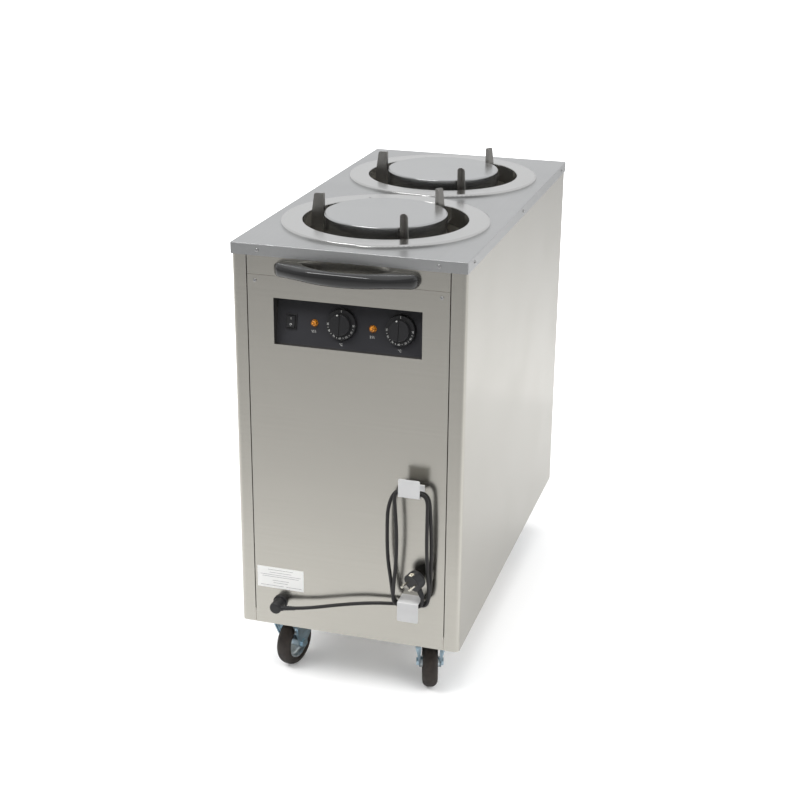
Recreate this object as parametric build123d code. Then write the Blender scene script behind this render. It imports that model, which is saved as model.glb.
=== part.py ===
"""Two-well heated plate dispenser cart.

Frame: millimetres, +Z up, the floor at Z = 0, the control side towards -Y.
The origin lies under the middle of the cart's own outline, handle included.
"""
import os
from math import atan2, cos, degrees, pi, radians, sin, tan

from build123d import *

# ---------------------------------------------------------------- casing sizes
CABINET_WIDTH = 450.0
CABINET_DEPTH = 890.0
CABINET_HEIGHT = 779.0
CASTER_HEIGHT = 126.0
SHEET = 1.2
DECK_FLANGE = 21.5
POST_RADIUS = 10.0
POST_FACE = 29.0
GROOVE = 1.8
LIP_DEPTH = 18.0
RAIL_HEIGHT = 34.5
RAIL_TONGUE = 24.0
PANEL_FLANGE = 12.0
BASE_SHEET = 2.0
BASE_FLANGE = 25.0
SCREW_SHANK_RADIUS = 2.0
SCREW_HEAD_RADIUS = 3.6
SCREW_HEAD_HEIGHT = 1.8
SCREW_HEAD_ROUND = 1.0
SCREW_LENGTH = 6.0
SCREW_PLAY = 0.1
DECK_SCREW_DROP = 11.0
DECK_SCREW_INSET = 21.0
DECK_SCREW_SETBACK = 47.0
PANEL_SCREW_INSET = 15.0
PANEL_SCREW_DROP = 11.0

# ------------------------------------------------------------------ well sizes
COLLAR_END_MARGIN = 35.0
COLLAR_GAP = 12.0
COLLAR_BAND = 42.0
COLLAR_RISE = 6.0
COLLAR_SHEET = 1.5
COLLAR_OUTER_ROUND = 3.6
COLLAR_INNER_ROUND = 2.1
COLLAR_BORE_ROUND = 1.8
COLLAR_NECK = 30.0
COLLAR_HOLE_RADIUS = 2.0
COLLAR_HOLE_INSET = 31.0
COLLAR_HOLE_ANGLE = 118.0
TUBE_LENGTH = 640.0
TUBE_SHEET = 1.0
TUBE_FLANGE = 16.0
TUBE_SLOT = 14.0
FIT = 0.3
GUIDE_STAND_IN = 33.0
GUIDE_RISE = 45.0
GUIDE_SHEET = 1.5
GUIDE_TOP_WIDTH = 18.5
GUIDE_DECK_WIDTH = 25.0
GUIDE_FACE = 10.0
GUIDE_CORNER = 5.0
GUIDE_NOSE = 1.25
GUIDE_ANGLES = (57.0, 180.0, 303.0)
ARM_ANGLES = (0.0, 120.0, 240.0)

# ------------------------------------------------------------------ lift sizes
PLATFORM_PLAY = 8.0
PLATFORM_RISE = 18.0
PLATFORM_SKIRT = 38.0
PLATFORM_SHEET = 1.5
PLATFORM_EDGE = 3.0
PEDESTAL_RADIUS = 30.0
PEDESTAL_LENGTH = 278.0
PEDESTAL_FLANGE_RADIUS = 60.0
SPIDER_SHEET = 3.0
SPIDER_HUB_RADIUS = 42.0
ARM_WIDTH = 12.0
ARM_RIB = 10.0
ARM_END = 8.0
SPRING_RADIUS = 6.5
SPRING_WALL = 2.0
SPRING_HOOK_RADIUS = 1.2
SPRING_HOOK = 22.0
SPRING_PLAY = 1.7
HEATER_INSET = 22.0
HEATER_TUBE_RADIUS = 4.25
HEATER_HEIGHT = 24.0
HEATER_FOOT = 12.0

# --------------------------------------------------------------- control sizes
WINDOW_WIDTH = 285.0
WINDOW_HEIGHT = 89.5
WINDOW_DROP = 99.0
RECESS_TOP = 30.0
RECESS_BOTTOM = 10.0
FASCIA_SHEET = 2.0
HOUSING_FLANGE = 10.0
SWITCH_X = -114.5
SWITCH_Y = -4.0
SWITCH_WIDTH = 21.0
SWITCH_HEIGHT = 29.0
SWITCH_RIM = 2.5
SWITCH_PROUD = 2.0
SWITCH_DEPTH = 24.0
ROCKER_PLAY = 0.4
ROCKER_CROWN = 3.2
LAMP_SPACING = 113.0
LAMP_X = -70.0
LAMP_Y = -3.0
LAMP_RADIUS = 7.6
LAMP_HEIGHT = 6.0
LAMP_ROUND = 2.0
LAMP_BODY_RADIUS = 5.5
LAMP_BODY_DEPTH = 20.0
KNOB_X = -16.0
KNOB_Y = -0.5
SKIRT_RADIUS = 29.5
SKIRT_HEIGHT = 8.5
SKIRT_SHEET = 2.2
SKIRT_GAP = 0.8
KNOB_HUB_RADIUS = 9.0
KNOB_RADIUS = 20.5
KNOB_HEIGHT = 17.0
KNOB_TAPER = 1.5
KNOB_GROOVE = 1.6
KNOB_GROOVE_DEPTH = 1.2
SPINDLE_RADIUS = 3.0
SPINDLE_PLAY = 0.06
SPINDLE_DEPTH = 14.0
THERMOSTAT_WIDTH = 34.0
THERMOSTAT_HEIGHT = 30.0
THERMOSTAT_DEPTH = 24.0
THERMOSTAT_BUSH_RADIUS = 5.0
THERMOSTAT_ROUND = 2.2

# ------------------------------------------------------- handle and hook sizes
HANDLE_WIDTH = 279.0
HANDLE_REACH = 50.0
HANDLE_HEIGHT = 27.0
HANDLE_DROP = 41.5
HANDLE_END_DEPTH = 14.0
HANDLE_FOOT = 58.0
HANDLE_GRIP = 17.0
HANDLE_ROUND = 6.5
HOOK_X = 131.0
HOOK_WIDTH = 41.5
HOOK_REACH = 36.0
HOOK_SHEET = 1.5
HOOK_FLANGE = 14.0
UPPER_HOOK_DROP = 448.0
UPPER_HOOK_TAB = 36.5
LOWER_HOOK_DROP = 668.5
LOWER_HOOK_TAB = 40.0
HOOK_CORNER = 3.0
LABEL_WIDTH = 96.5
LABEL_HEIGHT = 45.0
LABEL_SHEET = 0.4
LABEL_INSET = 4.5
LABEL_DROP = 676.0
GLAND_X = -141.0
GLAND_DROP = 727.0
GLAND_FLANGE_RADIUS = 14.5
GLAND_FLANGE = 5.0
GLAND_BARREL_RADIUS = 12.0
GLAND_BARREL_ROUND = 4.5
GLAND_REACH = 33.0
GLAND_OUTLET_OUT = 25.0
GLAND_SHANK_RADIUS = 7.5
GLAND_NUT = 5.0
GLAND_OUTLET_RADIUS = 5.5
GLAND_OUTLET = 15.0

# ---------------------------------------------------------------- caster sizes
CASTER_INSET_X = 89.0
CASTER_INSET_Y = 112.0
CASTER_TRAIL = 35.0
MOUNT_WIDTH = 85.0
MOUNT_LENGTH = 105.0
MOUNT_SHEET = 3.0
MOUNT_BOLT_X = 30.0
MOUNT_BOLT_Y = 40.0
MOUNT_BOLT_RADIUS = 6.0
MOUNT_BOLT_HEIGHT = 5.0
RACE_RADIUS = 29.0
RACE_HEIGHT = 11.0
RACE_CHAMFER = 3.0
KINGPIN_RADIUS = 6.0
KINGPIN_HEAD_RADIUS = 10.0
KINGPIN_HEAD = 4.0
KINGPIN_CHAMFER = 1.5
CROWN_RADIUS = 31.0
CROWN_SHEET = 3.0
CROWN_SKIRT = 7.0
LEG_SHEET = 2.5
LEG_REAR = 14.0
LEG_FRONT = 60.0
LEG_TOP_RADIUS = 8.0
LEG_FOOT_RADIUS = 11.0
LEG_TOP_SPREAD = 25.0
LEG_FOOT_SPREAD = 20.0
LEG_FLANGE_INNER = 18.5
LEG_FLANGE_OUTER = 30.0
WHEEL_RADIUS = 50.0
TYRE_WIDTH = 30.5
TYRE_BORE_RADIUS = 34.0
TYRE_SHOULDER = 12.0
RIM_WIDTH = 24.0
RIM_SHEET = 3.0
HUB_RADIUS = 11.0
HUB_LENGTH = 38.0
AXLE_RADIUS = 6.0
AXLE_HEAD_RADIUS = 9.0
AXLE_HEAD = 5.0
RUNNING_PLAY = 0.08
BRAKE_PIVOT_OUT = 76.0
BRAKE_PIVOT_DROP = 29.0
BRAKE_PIN_RADIUS = 3.0
BRAKE_EYE_RADIUS = 6.0
BRAKE_TUBE_RADIUS = 4.2
BRAKE_WIDTH = 32.0
BRAKE_PEDAL = 24.0
BRAKE_SHEET = 3.0
FRONT_LEFT_YAW = -12.0
FRONT_RIGHT_YAW = 17.0
REAR_LEFT_YAW = 11.0
REAR_RIGHT_YAW = -14.0

# ------------------------------------------------------------------ cord sizes
CORD_RADIUS = 3.5
CORD_LIFT = 0.8
LAYER_ONE = 12.0
LAYER_TWO = 20.5
LAYER_THREE = 28.2
PLUG_RADIUS = 18.5
PLUG_DEPTH = 23.0
PLUG_BACK_ROUND = 7.0
PLUG_RIM_ROUND = 1.0
PLUG_X = 138.5
PLUG_OUT = 36.0
PLUG_DROP = 625.0
PLUG_YAW = 25.0
PLUG_PITCH = 14.0
BOOT_ROOT_RADIUS = 6.5
BOOT_TIP_RADIUS = 4.8
PIN_RADIUS = 2.4
PIN_LENGTH = 19.0
PIN_SPACING = 19.0
EARTH_WIDTH = 8.0
EARTH_DEPTH = 9.0
EARTH_SHEET = 1.2

# ------------------------------------------------------------- derived places
CENTRE_Y = (HANDLE_REACH - SHEET - SCREW_HEAD_HEIGHT) / 2
DECK_TOP = CASTER_HEIGHT + CABINET_HEIGHT
DECK_UNDER = DECK_TOP - SHEET
BASE_Z = CASTER_HEIGHT
BASE_TOP = BASE_Z + BASE_SHEET
BODY_HALF_X = CABINET_WIDTH / 2 - SHEET
BODY_HALF_Y = CABINET_DEPTH / 2 - SHEET
FRONT_Y = CENTRE_Y - BODY_HALF_Y
REAR_Y = CENTRE_Y + BODY_HALF_Y
POST_EDGE_X = BODY_HALF_X - POST_FACE
PANEL_HALF = POST_EDGE_X - GROOVE
DECK_SCREW_X = PANEL_HALF - DECK_SCREW_INSET
DECK_SCREW_Y = CABINET_DEPTH / 2 - DECK_SCREW_SETBACK
PANEL_SCREW_X = PANEL_HALF - PANEL_SCREW_INSET
LABEL_X = LABEL_WIDTH / 2 + LABEL_INSET - PANEL_HALF
CASTER_X = CABINET_WIDTH / 2 - CASTER_INSET_X
CASTER_Y = CABINET_DEPTH / 2 - CASTER_INSET_Y
SEAM_Z = DECK_TOP - DECK_FLANGE - RAIL_HEIGHT
PANEL_TOP = SEAM_Z - GROOVE
WINDOW_TOP = DECK_TOP - WINDOW_DROP
WINDOW_BOTTOM = WINDOW_TOP - WINDOW_HEIGHT
COLLAR_OUTER_RADIUS = (CABINET_DEPTH / 2 - COLLAR_END_MARGIN - COLLAR_GAP / 2) / 2
WELL_SPACING = 2 * COLLAR_OUTER_RADIUS + COLLAR_GAP
COLLAR_TOP = DECK_TOP + COLLAR_RISE
COLLAR_BORE_RADIUS = COLLAR_OUTER_RADIUS - COLLAR_BAND
NECK_RADIUS = COLLAR_BORE_RADIUS + COLLAR_SHEET
TUBE_RADIUS = NECK_RADIUS + FIT
GUIDE_RADIUS = COLLAR_BORE_RADIUS - GUIDE_STAND_IN
PLATFORM_RADIUS = GUIDE_RADIUS - PLATFORM_PLAY
SPRING_REACH = TUBE_RADIUS + TUBE_SHEET + SPRING_RADIUS + SPRING_PLAY
HEATER_RADIUS = GUIDE_RADIUS - HEATER_INSET
TUBE_BOTTOM = DECK_UNDER - TUBE_LENGTH
PLATFORM_TOP = DECK_TOP + PLATFORM_RISE
PEDESTAL_TOP = PLATFORM_TOP - PLATFORM_SHEET
SPIDER_TOP = PEDESTAL_TOP - PEDESTAL_LENGTH
FASCIA_TILT = degrees(atan2(RECESS_TOP - RECESS_BOTTOM, WINDOW_HEIGHT))
FASCIA_Y = FRONT_Y + (RECESS_TOP + RECESS_BOTTOM) / 2
FASCIA_Z = (WINDOW_TOP + WINDOW_BOTTOM) / 2
FASCIA_NORMAL = (0, -cos(radians(FASCIA_TILT)), sin(radians(FASCIA_TILT)))
FASCIA_PLANE = Plane(origin=(0, FASCIA_Y, FASCIA_Z), x_dir=(1, 0, 0), z_dir=FASCIA_NORMAL)
AXLE_DROP = CASTER_HEIGHT - WHEEL_RADIUS
CROWN_TOP = -MOUNT_SHEET - RACE_HEIGHT - FIT


# -------------------------------------------------------------------- helpers
def block(x0, x1, y0, y1, z0, z1):
    """Return a box that spans the given limits."""
    middle = Pos((x0 + x1) / 2, (y0 + y1) / 2, (z0 + z1) / 2)
    return middle * Box(abs(x1 - x0), abs(y1 - y0), abs(z1 - z0))


def rod(start, end, radius):
    """Return a straight round bar from start to end."""
    first = Vector(*start)
    along = Vector(*end) - first
    return extrude(Plane(origin=first, z_dir=along) * Circle(radius), along.length)


def profile(points, plane):
    """Return the face of a closed outline drawn on a plane."""
    return plane * make_face(Polyline(*points, close=True))


def swept_bar(points, plane, half_width):
    """Return an outline on a plane, thickened to both sides of it."""
    return extrude(profile(points, plane), half_width, both=True)


def spun(points, corners=()):
    """Return the solid of revolution of an outline of (radius, height) points about Z.

    Each entry of corners rounds the outline's corner at its point by its radius.
    """
    face = make_face(Polyline(*points, close=True))
    for point, radius in corners:
        face = fillet(face.vertices().sort_by_distance((point[0], point[1], 0))[0], radius)
    return revolve(Plane.XZ * face, Axis.Z)


def hull_of_circles(circles):
    """Return the face that wraps a row of (x, y, radius) circles."""
    discs = [Pos(x, y) * Circle(radius) for x, y, radius in circles]
    face = make_hull(sum(discs[1:], Sketch() + discs[0]).edges())
    return face


def turned(shape, angle):
    """Return the shape turned about the Z axis through the origin."""
    return Rot(0, 0, angle) * shape


# --------------------------------------------------------------------- casing
def screw_places():
    """Return the screws as (seat point, outward direction)."""
    deck_z = DECK_TOP - DECK_SCREW_DROP
    panel_z = PANEL_TOP - PANEL_SCREW_DROP
    places = []
    for side in (-1, 1):
        places.append(((side * DECK_SCREW_X, FRONT_Y - SHEET, deck_z), (0, -1, 0)))
        places.append(((side * DECK_SCREW_X, REAR_Y + SHEET, deck_z), (0, 1, 0)))
        places.append(((side * PANEL_SCREW_X, FRONT_Y, panel_z), (0, -1, 0)))
        for step in (-1, 0, 1):
            seat = (side * CABINET_WIDTH / 2, CENTRE_Y + step * DECK_SCREW_Y, deck_z)
            places.append((seat, (side, 0, 0)))
    return places


def screw(seat, outward, radius_play):
    """Return one screw, or with some play the hole that it needs."""
    point = Vector(*seat)
    out = Vector(*outward)
    shank = rod(point, point - out * SCREW_LENGTH, SCREW_SHANK_RADIUS + radius_play)
    if radius_play:
        return shank
    head = extrude(Plane(origin=point, z_dir=out) * Circle(SCREW_HEAD_RADIUS), SCREW_HEAD_HEIGHT)
    head = fillet(head.edges().sort_by(lambda edge: edge.center().dot(out))[-1], SCREW_HEAD_ROUND)
    return head + shank


def casing_screws():
    """Return every casing screw as a separate solid."""
    return Compound(children=[screw(seat, out, 0).solid() for seat, out in screw_places()])


def drilled(shape):
    """Return a casing sheet with the screws' clearance holes."""
    for seat, out in screw_places():
        shape -= screw(seat, out, SCREW_PLAY)
    return shape


def side_panel(side):
    """Return one side sheet with its rounded posts, returns and inner lips."""
    height = DECK_UNDER - BASE_Z
    outer = fillet(Rectangle(2 * BODY_HALF_X, 2 * BODY_HALF_Y).vertices(), POST_RADIUS)
    inner = Rectangle(2 * (BODY_HALF_X - SHEET), 2 * (BODY_HALF_Y - SHEET))
    inner = fillet(inner.vertices(), POST_RADIUS - SHEET)
    ring = Pos(0, CENTRE_Y) * (outer - inner)
    keep_width = BODY_HALF_X - POST_EDGE_X
    keep = Pos(side * (POST_EDGE_X + keep_width / 2), CENTRE_Y) * Rectangle(keep_width, CABINET_DEPTH)
    sheet = Pos(0, 0, BASE_Z) * extrude(ring & keep, height)
    lip_x = (side * POST_EDGE_X, side * (POST_EDGE_X + SHEET))
    lip_z = BASE_TOP + BASE_FLANGE
    sheet += block(*lip_x, FRONT_Y, FRONT_Y + LIP_DEPTH, lip_z, DECK_UNDER)
    sheet += block(*lip_x, REAR_Y - LIP_DEPTH, REAR_Y, lip_z, DECK_UNDER)
    return drilled(sheet)


def front_top_rail():
    """Return the Z-section rail above the service panel."""
    tongue_bottom = SEAM_Z - RAIL_TONGUE
    outline = [
        (FRONT_Y, SEAM_Z),
        (FRONT_Y, DECK_UNDER),
        (FRONT_Y + LIP_DEPTH, DECK_UNDER),
        (FRONT_Y + LIP_DEPTH, DECK_UNDER - SHEET),
        (FRONT_Y + SHEET, DECK_UNDER - SHEET),
        (FRONT_Y + SHEET, SEAM_Z + SHEET),
        (FRONT_Y + 2 * SHEET, SEAM_Z + SHEET),
        (FRONT_Y + 2 * SHEET, tongue_bottom),
        (FRONT_Y + SHEET, tongue_bottom),
        (FRONT_Y + SHEET, SEAM_Z),
    ]
    return drilled(swept_bar(outline, Plane.YZ, PANEL_HALF))


def folded_panel(y0, y1, flange_y, top, flange_top):
    """Return a flat panel with a flange folded inwards along each upright edge."""
    panel = block(-PANEL_HALF, PANEL_HALF, y0, y1, BASE_Z, top)
    for side in (-1, 1):
        edge = (side * PANEL_HALF, side * (PANEL_HALF - SHEET))
        panel += block(*edge, y0, flange_y, BASE_TOP + BASE_FLANGE, flange_top)
    return panel


def front_service_panel():
    """Return the removable front panel with its control window and cord hole."""
    flange_top = SEAM_Z - RAIL_TONGUE - GROOVE
    panel = folded_panel(FRONT_Y, FRONT_Y + SHEET, FRONT_Y + PANEL_FLANGE, PANEL_TOP, flange_top)
    half = WINDOW_WIDTH / 2
    panel -= block(-half, half, FRONT_Y - SHEET, FRONT_Y + 2 * SHEET, WINDOW_BOTTOM, WINDOW_TOP)
    gland_z = DECK_TOP - GLAND_DROP
    hole_start = (GLAND_X, FRONT_Y - SHEET, gland_z)
    hole_end = (GLAND_X, FRONT_Y + 2 * SHEET, gland_z)
    panel -= rod(hole_start, hole_end, GLAND_SHANK_RADIUS + SCREW_PLAY)
    return drilled(panel)


def rear_panel():
    """Return the plain rear panel."""
    panel = folded_panel(REAR_Y, REAR_Y - SHEET, REAR_Y - PANEL_FLANGE, DECK_UNDER, DECK_UNDER)
    return drilled(panel)


def base_plate():
    """Return the floor tray that the casters bolt to."""
    half_x = BODY_HALF_X - SHEET
    half_y = BODY_HALF_Y - SHEET
    height = BASE_SHEET + BASE_FLANGE
    corner = POST_RADIUS - SHEET
    outer = fillet(Rectangle(2 * half_x, 2 * half_y).vertices(), corner)
    inner = Rectangle(2 * (half_x - BASE_SHEET), 2 * (half_y - BASE_SHEET))
    inner = fillet(inner.vertices(), corner - BASE_SHEET)
    tray = extrude(outer, height) - Pos(0, 0, BASE_SHEET) * extrude(inner, height)
    return Pos(0, CENTRE_Y, BASE_Z) * tray


def deck_top():
    """Return the deck tray with a hole for each well."""
    outer = fillet(Rectangle(CABINET_WIDTH, CABINET_DEPTH).vertices(), 2 * SHEET)
    outer = extrude(outer, DECK_FLANGE)
    outer = fillet(outer.faces().sort_by(Axis.Z)[-1].edges(), SHEET)
    inner = fillet(Rectangle(2 * BODY_HALF_X, 2 * BODY_HALF_Y).vertices(), SHEET)
    inner = extrude(inner, DECK_FLANGE)
    tray = outer - Pos(0, 0, -SHEET) * inner
    for side in (-1, 1):
        hole = Cylinder(TUBE_RADIUS, 4 * DECK_FLANGE)
        tray -= Pos(0, side * WELL_SPACING / 2, 0) * hole
    return drilled(Pos(0, CENTRE_Y, DECK_TOP - DECK_FLANGE) * tray)


# ---------------------------------------------------------------------- wells
def well_collar():
    """Return the raised collar of a well, centred on the Z axis."""
    under = COLLAR_TOP - COLLAR_SHEET
    neck_bottom = DECK_TOP - COLLAR_NECK
    outline = [
        (COLLAR_OUTER_RADIUS, DECK_TOP),
        (COLLAR_OUTER_RADIUS, COLLAR_TOP),
        (COLLAR_BORE_RADIUS, COLLAR_TOP),
        (COLLAR_BORE_RADIUS, neck_bottom),
        (NECK_RADIUS, neck_bottom),
        (NECK_RADIUS, under),
        (COLLAR_OUTER_RADIUS - COLLAR_SHEET, under),
        (COLLAR_OUTER_RADIUS - COLLAR_SHEET, DECK_TOP),
    ]
    rounds = [
        ((COLLAR_OUTER_RADIUS, COLLAR_TOP), COLLAR_OUTER_ROUND),
        ((COLLAR_OUTER_RADIUS - COLLAR_SHEET, under), COLLAR_INNER_ROUND),
        ((COLLAR_BORE_RADIUS, COLLAR_TOP), COLLAR_BORE_ROUND),
    ]
    collar = spun(outline, rounds)
    hole = Pos(COLLAR_OUTER_RADIUS - COLLAR_HOLE_INSET, 0, COLLAR_TOP) * Cylinder(COLLAR_HOLE_RADIUS, 4 * COLLAR_SHEET)
    return collar - turned(hole, COLLAR_HOLE_ANGLE)


def well_tube():
    """Return the slotted tube under a collar, centred on the Z axis."""
    outline = [
        (TUBE_RADIUS, TUBE_BOTTOM),
        (TUBE_RADIUS, DECK_UNDER),
        (TUBE_RADIUS + TUBE_FLANGE, DECK_UNDER),
        (TUBE_RADIUS + TUBE_FLANGE, DECK_UNDER - TUBE_SHEET),
        (TUBE_RADIUS + TUBE_SHEET, DECK_UNDER - TUBE_SHEET),
        (TUBE_RADIUS + TUBE_SHEET, TUBE_BOTTOM),
    ]
    tube = spun(outline)
    slot_top = SPIDER_TOP + 2 * ARM_WIDTH
    slot = block(
        COLLAR_BORE_RADIUS / 2, COLLAR_OUTER_RADIUS,
        -TUBE_SLOT / 2, TUBE_SLOT / 2,
        TUBE_BOTTOM - TUBE_SHEET, slot_top,
    )
    for angle in ARM_ANGLES:
        tube -= turned(slot, angle)
    return tube


def guide_rail():
    """Return one angle-section guide that stands on the +X side of a well."""
    wall = TUBE_RADIUS - FIT
    top = DECK_TOP + GUIDE_RISE
    shoulder = DECK_TOP - COLLAR_NECK - FIT
    outline = [
        (GUIDE_RADIUS, TUBE_BOTTOM),
        (wall, TUBE_BOTTOM),
        (wall, shoulder),
        (GUIDE_RADIUS + GUIDE_DECK_WIDTH, shoulder + 2 * GUIDE_CORNER),
        (GUIDE_RADIUS + GUIDE_DECK_WIDTH, DECK_TOP),
        (GUIDE_RADIUS + GUIDE_TOP_WIDTH, top),
        (GUIDE_RADIUS, top),
    ]
    fin = make_face(Polyline(*outline, close=True))
    fin = fillet(fin.vertices().sort_by_distance((outline[5][0], top, 0))[0], GUIDE_CORNER)
    fin = fillet(fin.vertices().sort_by_distance((GUIDE_RADIUS, top, 0))[0], GUIDE_NOSE)
    fin = Pos(0, GUIDE_SHEET / 2, 0) * extrude(Plane.XZ * fin, GUIDE_SHEET)
    face_y0 = GUIDE_SHEET / 2 - GUIDE_FACE
    face = block(GUIDE_RADIUS, GUIDE_RADIUS + GUIDE_SHEET, face_y0, 0, TUBE_BOTTOM, top)
    corner = face.edges().filter_by(Axis.X).sort_by_distance((GUIDE_RADIUS, face_y0, top))[0]
    return fin + fillet(corner, GUIDE_FACE / 2)


def guide_rails():
    """Return the three guides of a well."""
    return Compound(children=[turned(guide_rail(), angle).solid() for angle in GUIDE_ANGLES])


def heater():
    """Return the ring heating element on its three feet."""
    ring_z = BASE_TOP + HEATER_HEIGHT
    ring = Pos(0, 0, ring_z) * Torus(HEATER_RADIUS, HEATER_TUBE_RADIUS)
    half = HEATER_FOOT / 2
    foot = block(
        HEATER_RADIUS - BASE_SHEET / 2, HEATER_RADIUS + BASE_SHEET / 2,
        -half, half, BASE_TOP, ring_z,
    )
    foot += block(HEATER_RADIUS - half, HEATER_RADIUS + half, -half, half, BASE_TOP, BASE_TOP + BASE_SHEET)
    for angle in ARM_ANGLES:
        ring += turned(foot, angle)
    return ring


# ---------------------------------------------------------------------- lifts
def platform():
    """Return the inverted pan that the plates stand on."""
    inner = PLATFORM_RADIUS - PLATFORM_SHEET
    bottom = PLATFORM_TOP - PLATFORM_SKIRT
    outline = [
        (0, PLATFORM_TOP),
        (PLATFORM_RADIUS, PLATFORM_TOP),
        (PLATFORM_RADIUS, bottom),
        (inner, bottom),
        (inner, PEDESTAL_TOP),
        (0, PEDESTAL_TOP),
    ]
    rounds = [
        ((PLATFORM_RADIUS, PLATFORM_TOP), PLATFORM_EDGE),
        ((inner, PEDESTAL_TOP), PLATFORM_EDGE - PLATFORM_SHEET),
    ]
    return spun(outline, rounds)


def carriage():
    """Return the pedestal under a platform and the spider that the springs lift."""
    bore = PEDESTAL_RADIUS - PLATFORM_SHEET
    spider_bottom = SPIDER_TOP - SPIDER_SHEET
    outline = [
        (bore, PEDESTAL_TOP),
        (PEDESTAL_FLANGE_RADIUS, PEDESTAL_TOP),
        (PEDESTAL_FLANGE_RADIUS, PEDESTAL_TOP - PLATFORM_SHEET),
        (PEDESTAL_RADIUS, PEDESTAL_TOP - PLATFORM_SHEET),
        (PEDESTAL_RADIUS, SPIDER_TOP),
        (SPIDER_HUB_RADIUS, SPIDER_TOP),
        (SPIDER_HUB_RADIUS, spider_bottom),
        (bore, spider_bottom),
    ]
    body = spun(outline)
    tip = SPRING_REACH + ARM_END
    arm = block(PEDESTAL_RADIUS, tip, -ARM_WIDTH / 2, ARM_WIDTH / 2, spider_bottom, SPIDER_TOP)
    arm = fillet(arm.edges().filter_by(Axis.Z).sort_by(Axis.X)[-2:], ARM_WIDTH / 3)
    rib = [
        (PEDESTAL_RADIUS, spider_bottom),
        (tip - ARM_WIDTH, spider_bottom),
        (PEDESTAL_RADIUS, spider_bottom - ARM_RIB),
    ]
    arm += swept_bar(rib, Plane.XZ, SPIDER_SHEET / 2)
    for angle in ARM_ANGLES:
        body += turned(arm, angle)
    return body


def lift_spring():
    """Return one close-wound extension spring on the +X side of a well."""
    top = DECK_UNDER - TUBE_SHEET - FIT
    bottom = SPIDER_TOP + FIT
    coil_top = top - SPRING_HOOK
    coil_bottom = bottom + SPRING_HOOK
    coil = rod((SPRING_REACH, 0, coil_bottom), (SPRING_REACH, 0, coil_top), SPRING_RADIUS)
    bore_bottom = (SPRING_REACH, 0, coil_bottom + SPRING_WALL)
    bore_top = (SPRING_REACH, 0, coil_top - SPRING_WALL)
    coil -= rod(bore_bottom, bore_top, SPRING_RADIUS - SPRING_WALL)
    coil += rod((SPRING_REACH, 0, coil_top), (SPRING_REACH, 0, top), SPRING_HOOK_RADIUS)
    coil += rod((SPRING_REACH, 0, bottom), (SPRING_REACH, 0, coil_bottom), SPRING_HOOK_RADIUS)
    return coil


def lift_springs():
    """Return the three springs of a well."""
    return Compound(children=[turned(lift_spring(), angle).solid() for angle in ARM_ANGLES])


# ------------------------------------------------------------------- controls
def on_fascia(x, y, shape):
    """Return a shape built round Z, seated on the fascia at a local point."""
    return FASCIA_PLANE * (Pos(x, y, 0) * shape)


def control_housing():
    """Return the duct behind the window, cut off along the sloping fascia."""
    half = WINDOW_WIDTH / 2
    y0 = FRONT_Y + SHEET
    y1 = FRONT_Y + RECESS_TOP + 4 * FASCIA_SHEET
    wide = half + SHEET
    duct = block(-wide, wide, y0, y1, WINDOW_BOTTOM - SHEET, WINDOW_TOP + SHEET)
    reach = half + HOUSING_FLANGE
    flange_top = min(WINDOW_TOP + HOUSING_FLANGE, SEAM_Z - RAIL_TONGUE - FIT)
    duct += block(-reach, reach, y0, y0 + SHEET, WINDOW_BOTTOM - HOUSING_FLANGE, flange_top)
    duct -= block(-half, half, FRONT_Y, 2 * y1 - FRONT_Y, WINDOW_BOTTOM, WINDOW_TOP)
    behind = Pos(0, 0, -FASCIA_SHEET - CABINET_WIDTH / 2) * Box(*[CABINET_WIDTH] * 3)
    return duct - FASCIA_PLANE * behind


def control_fascia():
    """Return the sloping fascia plate with its cut-outs."""
    slab = FASCIA_PLANE * (Pos(0, 0, -FASCIA_SHEET / 2) * Box(2 * WINDOW_WIDTH, WINDOW_WIDTH, FASCIA_SHEET))
    half = WINDOW_WIDTH / 2
    deep = FRONT_Y + 2 * RECESS_TOP
    plate = slab & block(-half, half, FRONT_Y, deep, WINDOW_BOTTOM, WINDOW_TOP)
    cutter = 6 * FASCIA_SHEET
    width = SWITCH_WIDTH - 2 * SWITCH_RIM + SHEET
    height = SWITCH_HEIGHT - 2 * SWITCH_RIM + SHEET
    plate -= on_fascia(SWITCH_X, SWITCH_Y, Box(width + 2 * FIT, height + 2 * FIT, cutter))
    for step in (0, 1):
        shift = step * LAMP_SPACING
        plate -= on_fascia(LAMP_X + shift, LAMP_Y, Cylinder(LAMP_BODY_RADIUS + SCREW_PLAY, cutter))
        plate -= on_fascia(KNOB_X + shift, KNOB_Y, Cylinder(THERMOSTAT_BUSH_RADIUS + SCREW_PLAY, cutter))
    return plate


def switch_housing():
    """Return the rocker switch's rim and body."""
    rim = Pos(0, 0, SWITCH_PROUD / 2) * Box(SWITCH_WIDTH, SWITCH_HEIGHT, SWITCH_PROUD)
    rim = fillet(rim.faces().sort_by(Axis.Z)[-1].edges(), SWITCH_PROUD / 3)
    width = SWITCH_WIDTH - 2 * SWITCH_RIM + SHEET
    height = SWITCH_HEIGHT - 2 * SWITCH_RIM + SHEET
    rim += Pos(0, 0, -SWITCH_DEPTH / 2) * Box(width, height, SWITCH_DEPTH)
    well = Box(SWITCH_WIDTH - 2 * SWITCH_RIM, SWITCH_HEIGHT - 2 * SWITCH_RIM, SWITCH_DEPTH)
    return on_fascia(SWITCH_X, SWITCH_Y, rim - Pos(0, 0, SWITCH_PROUD) * well)


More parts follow.
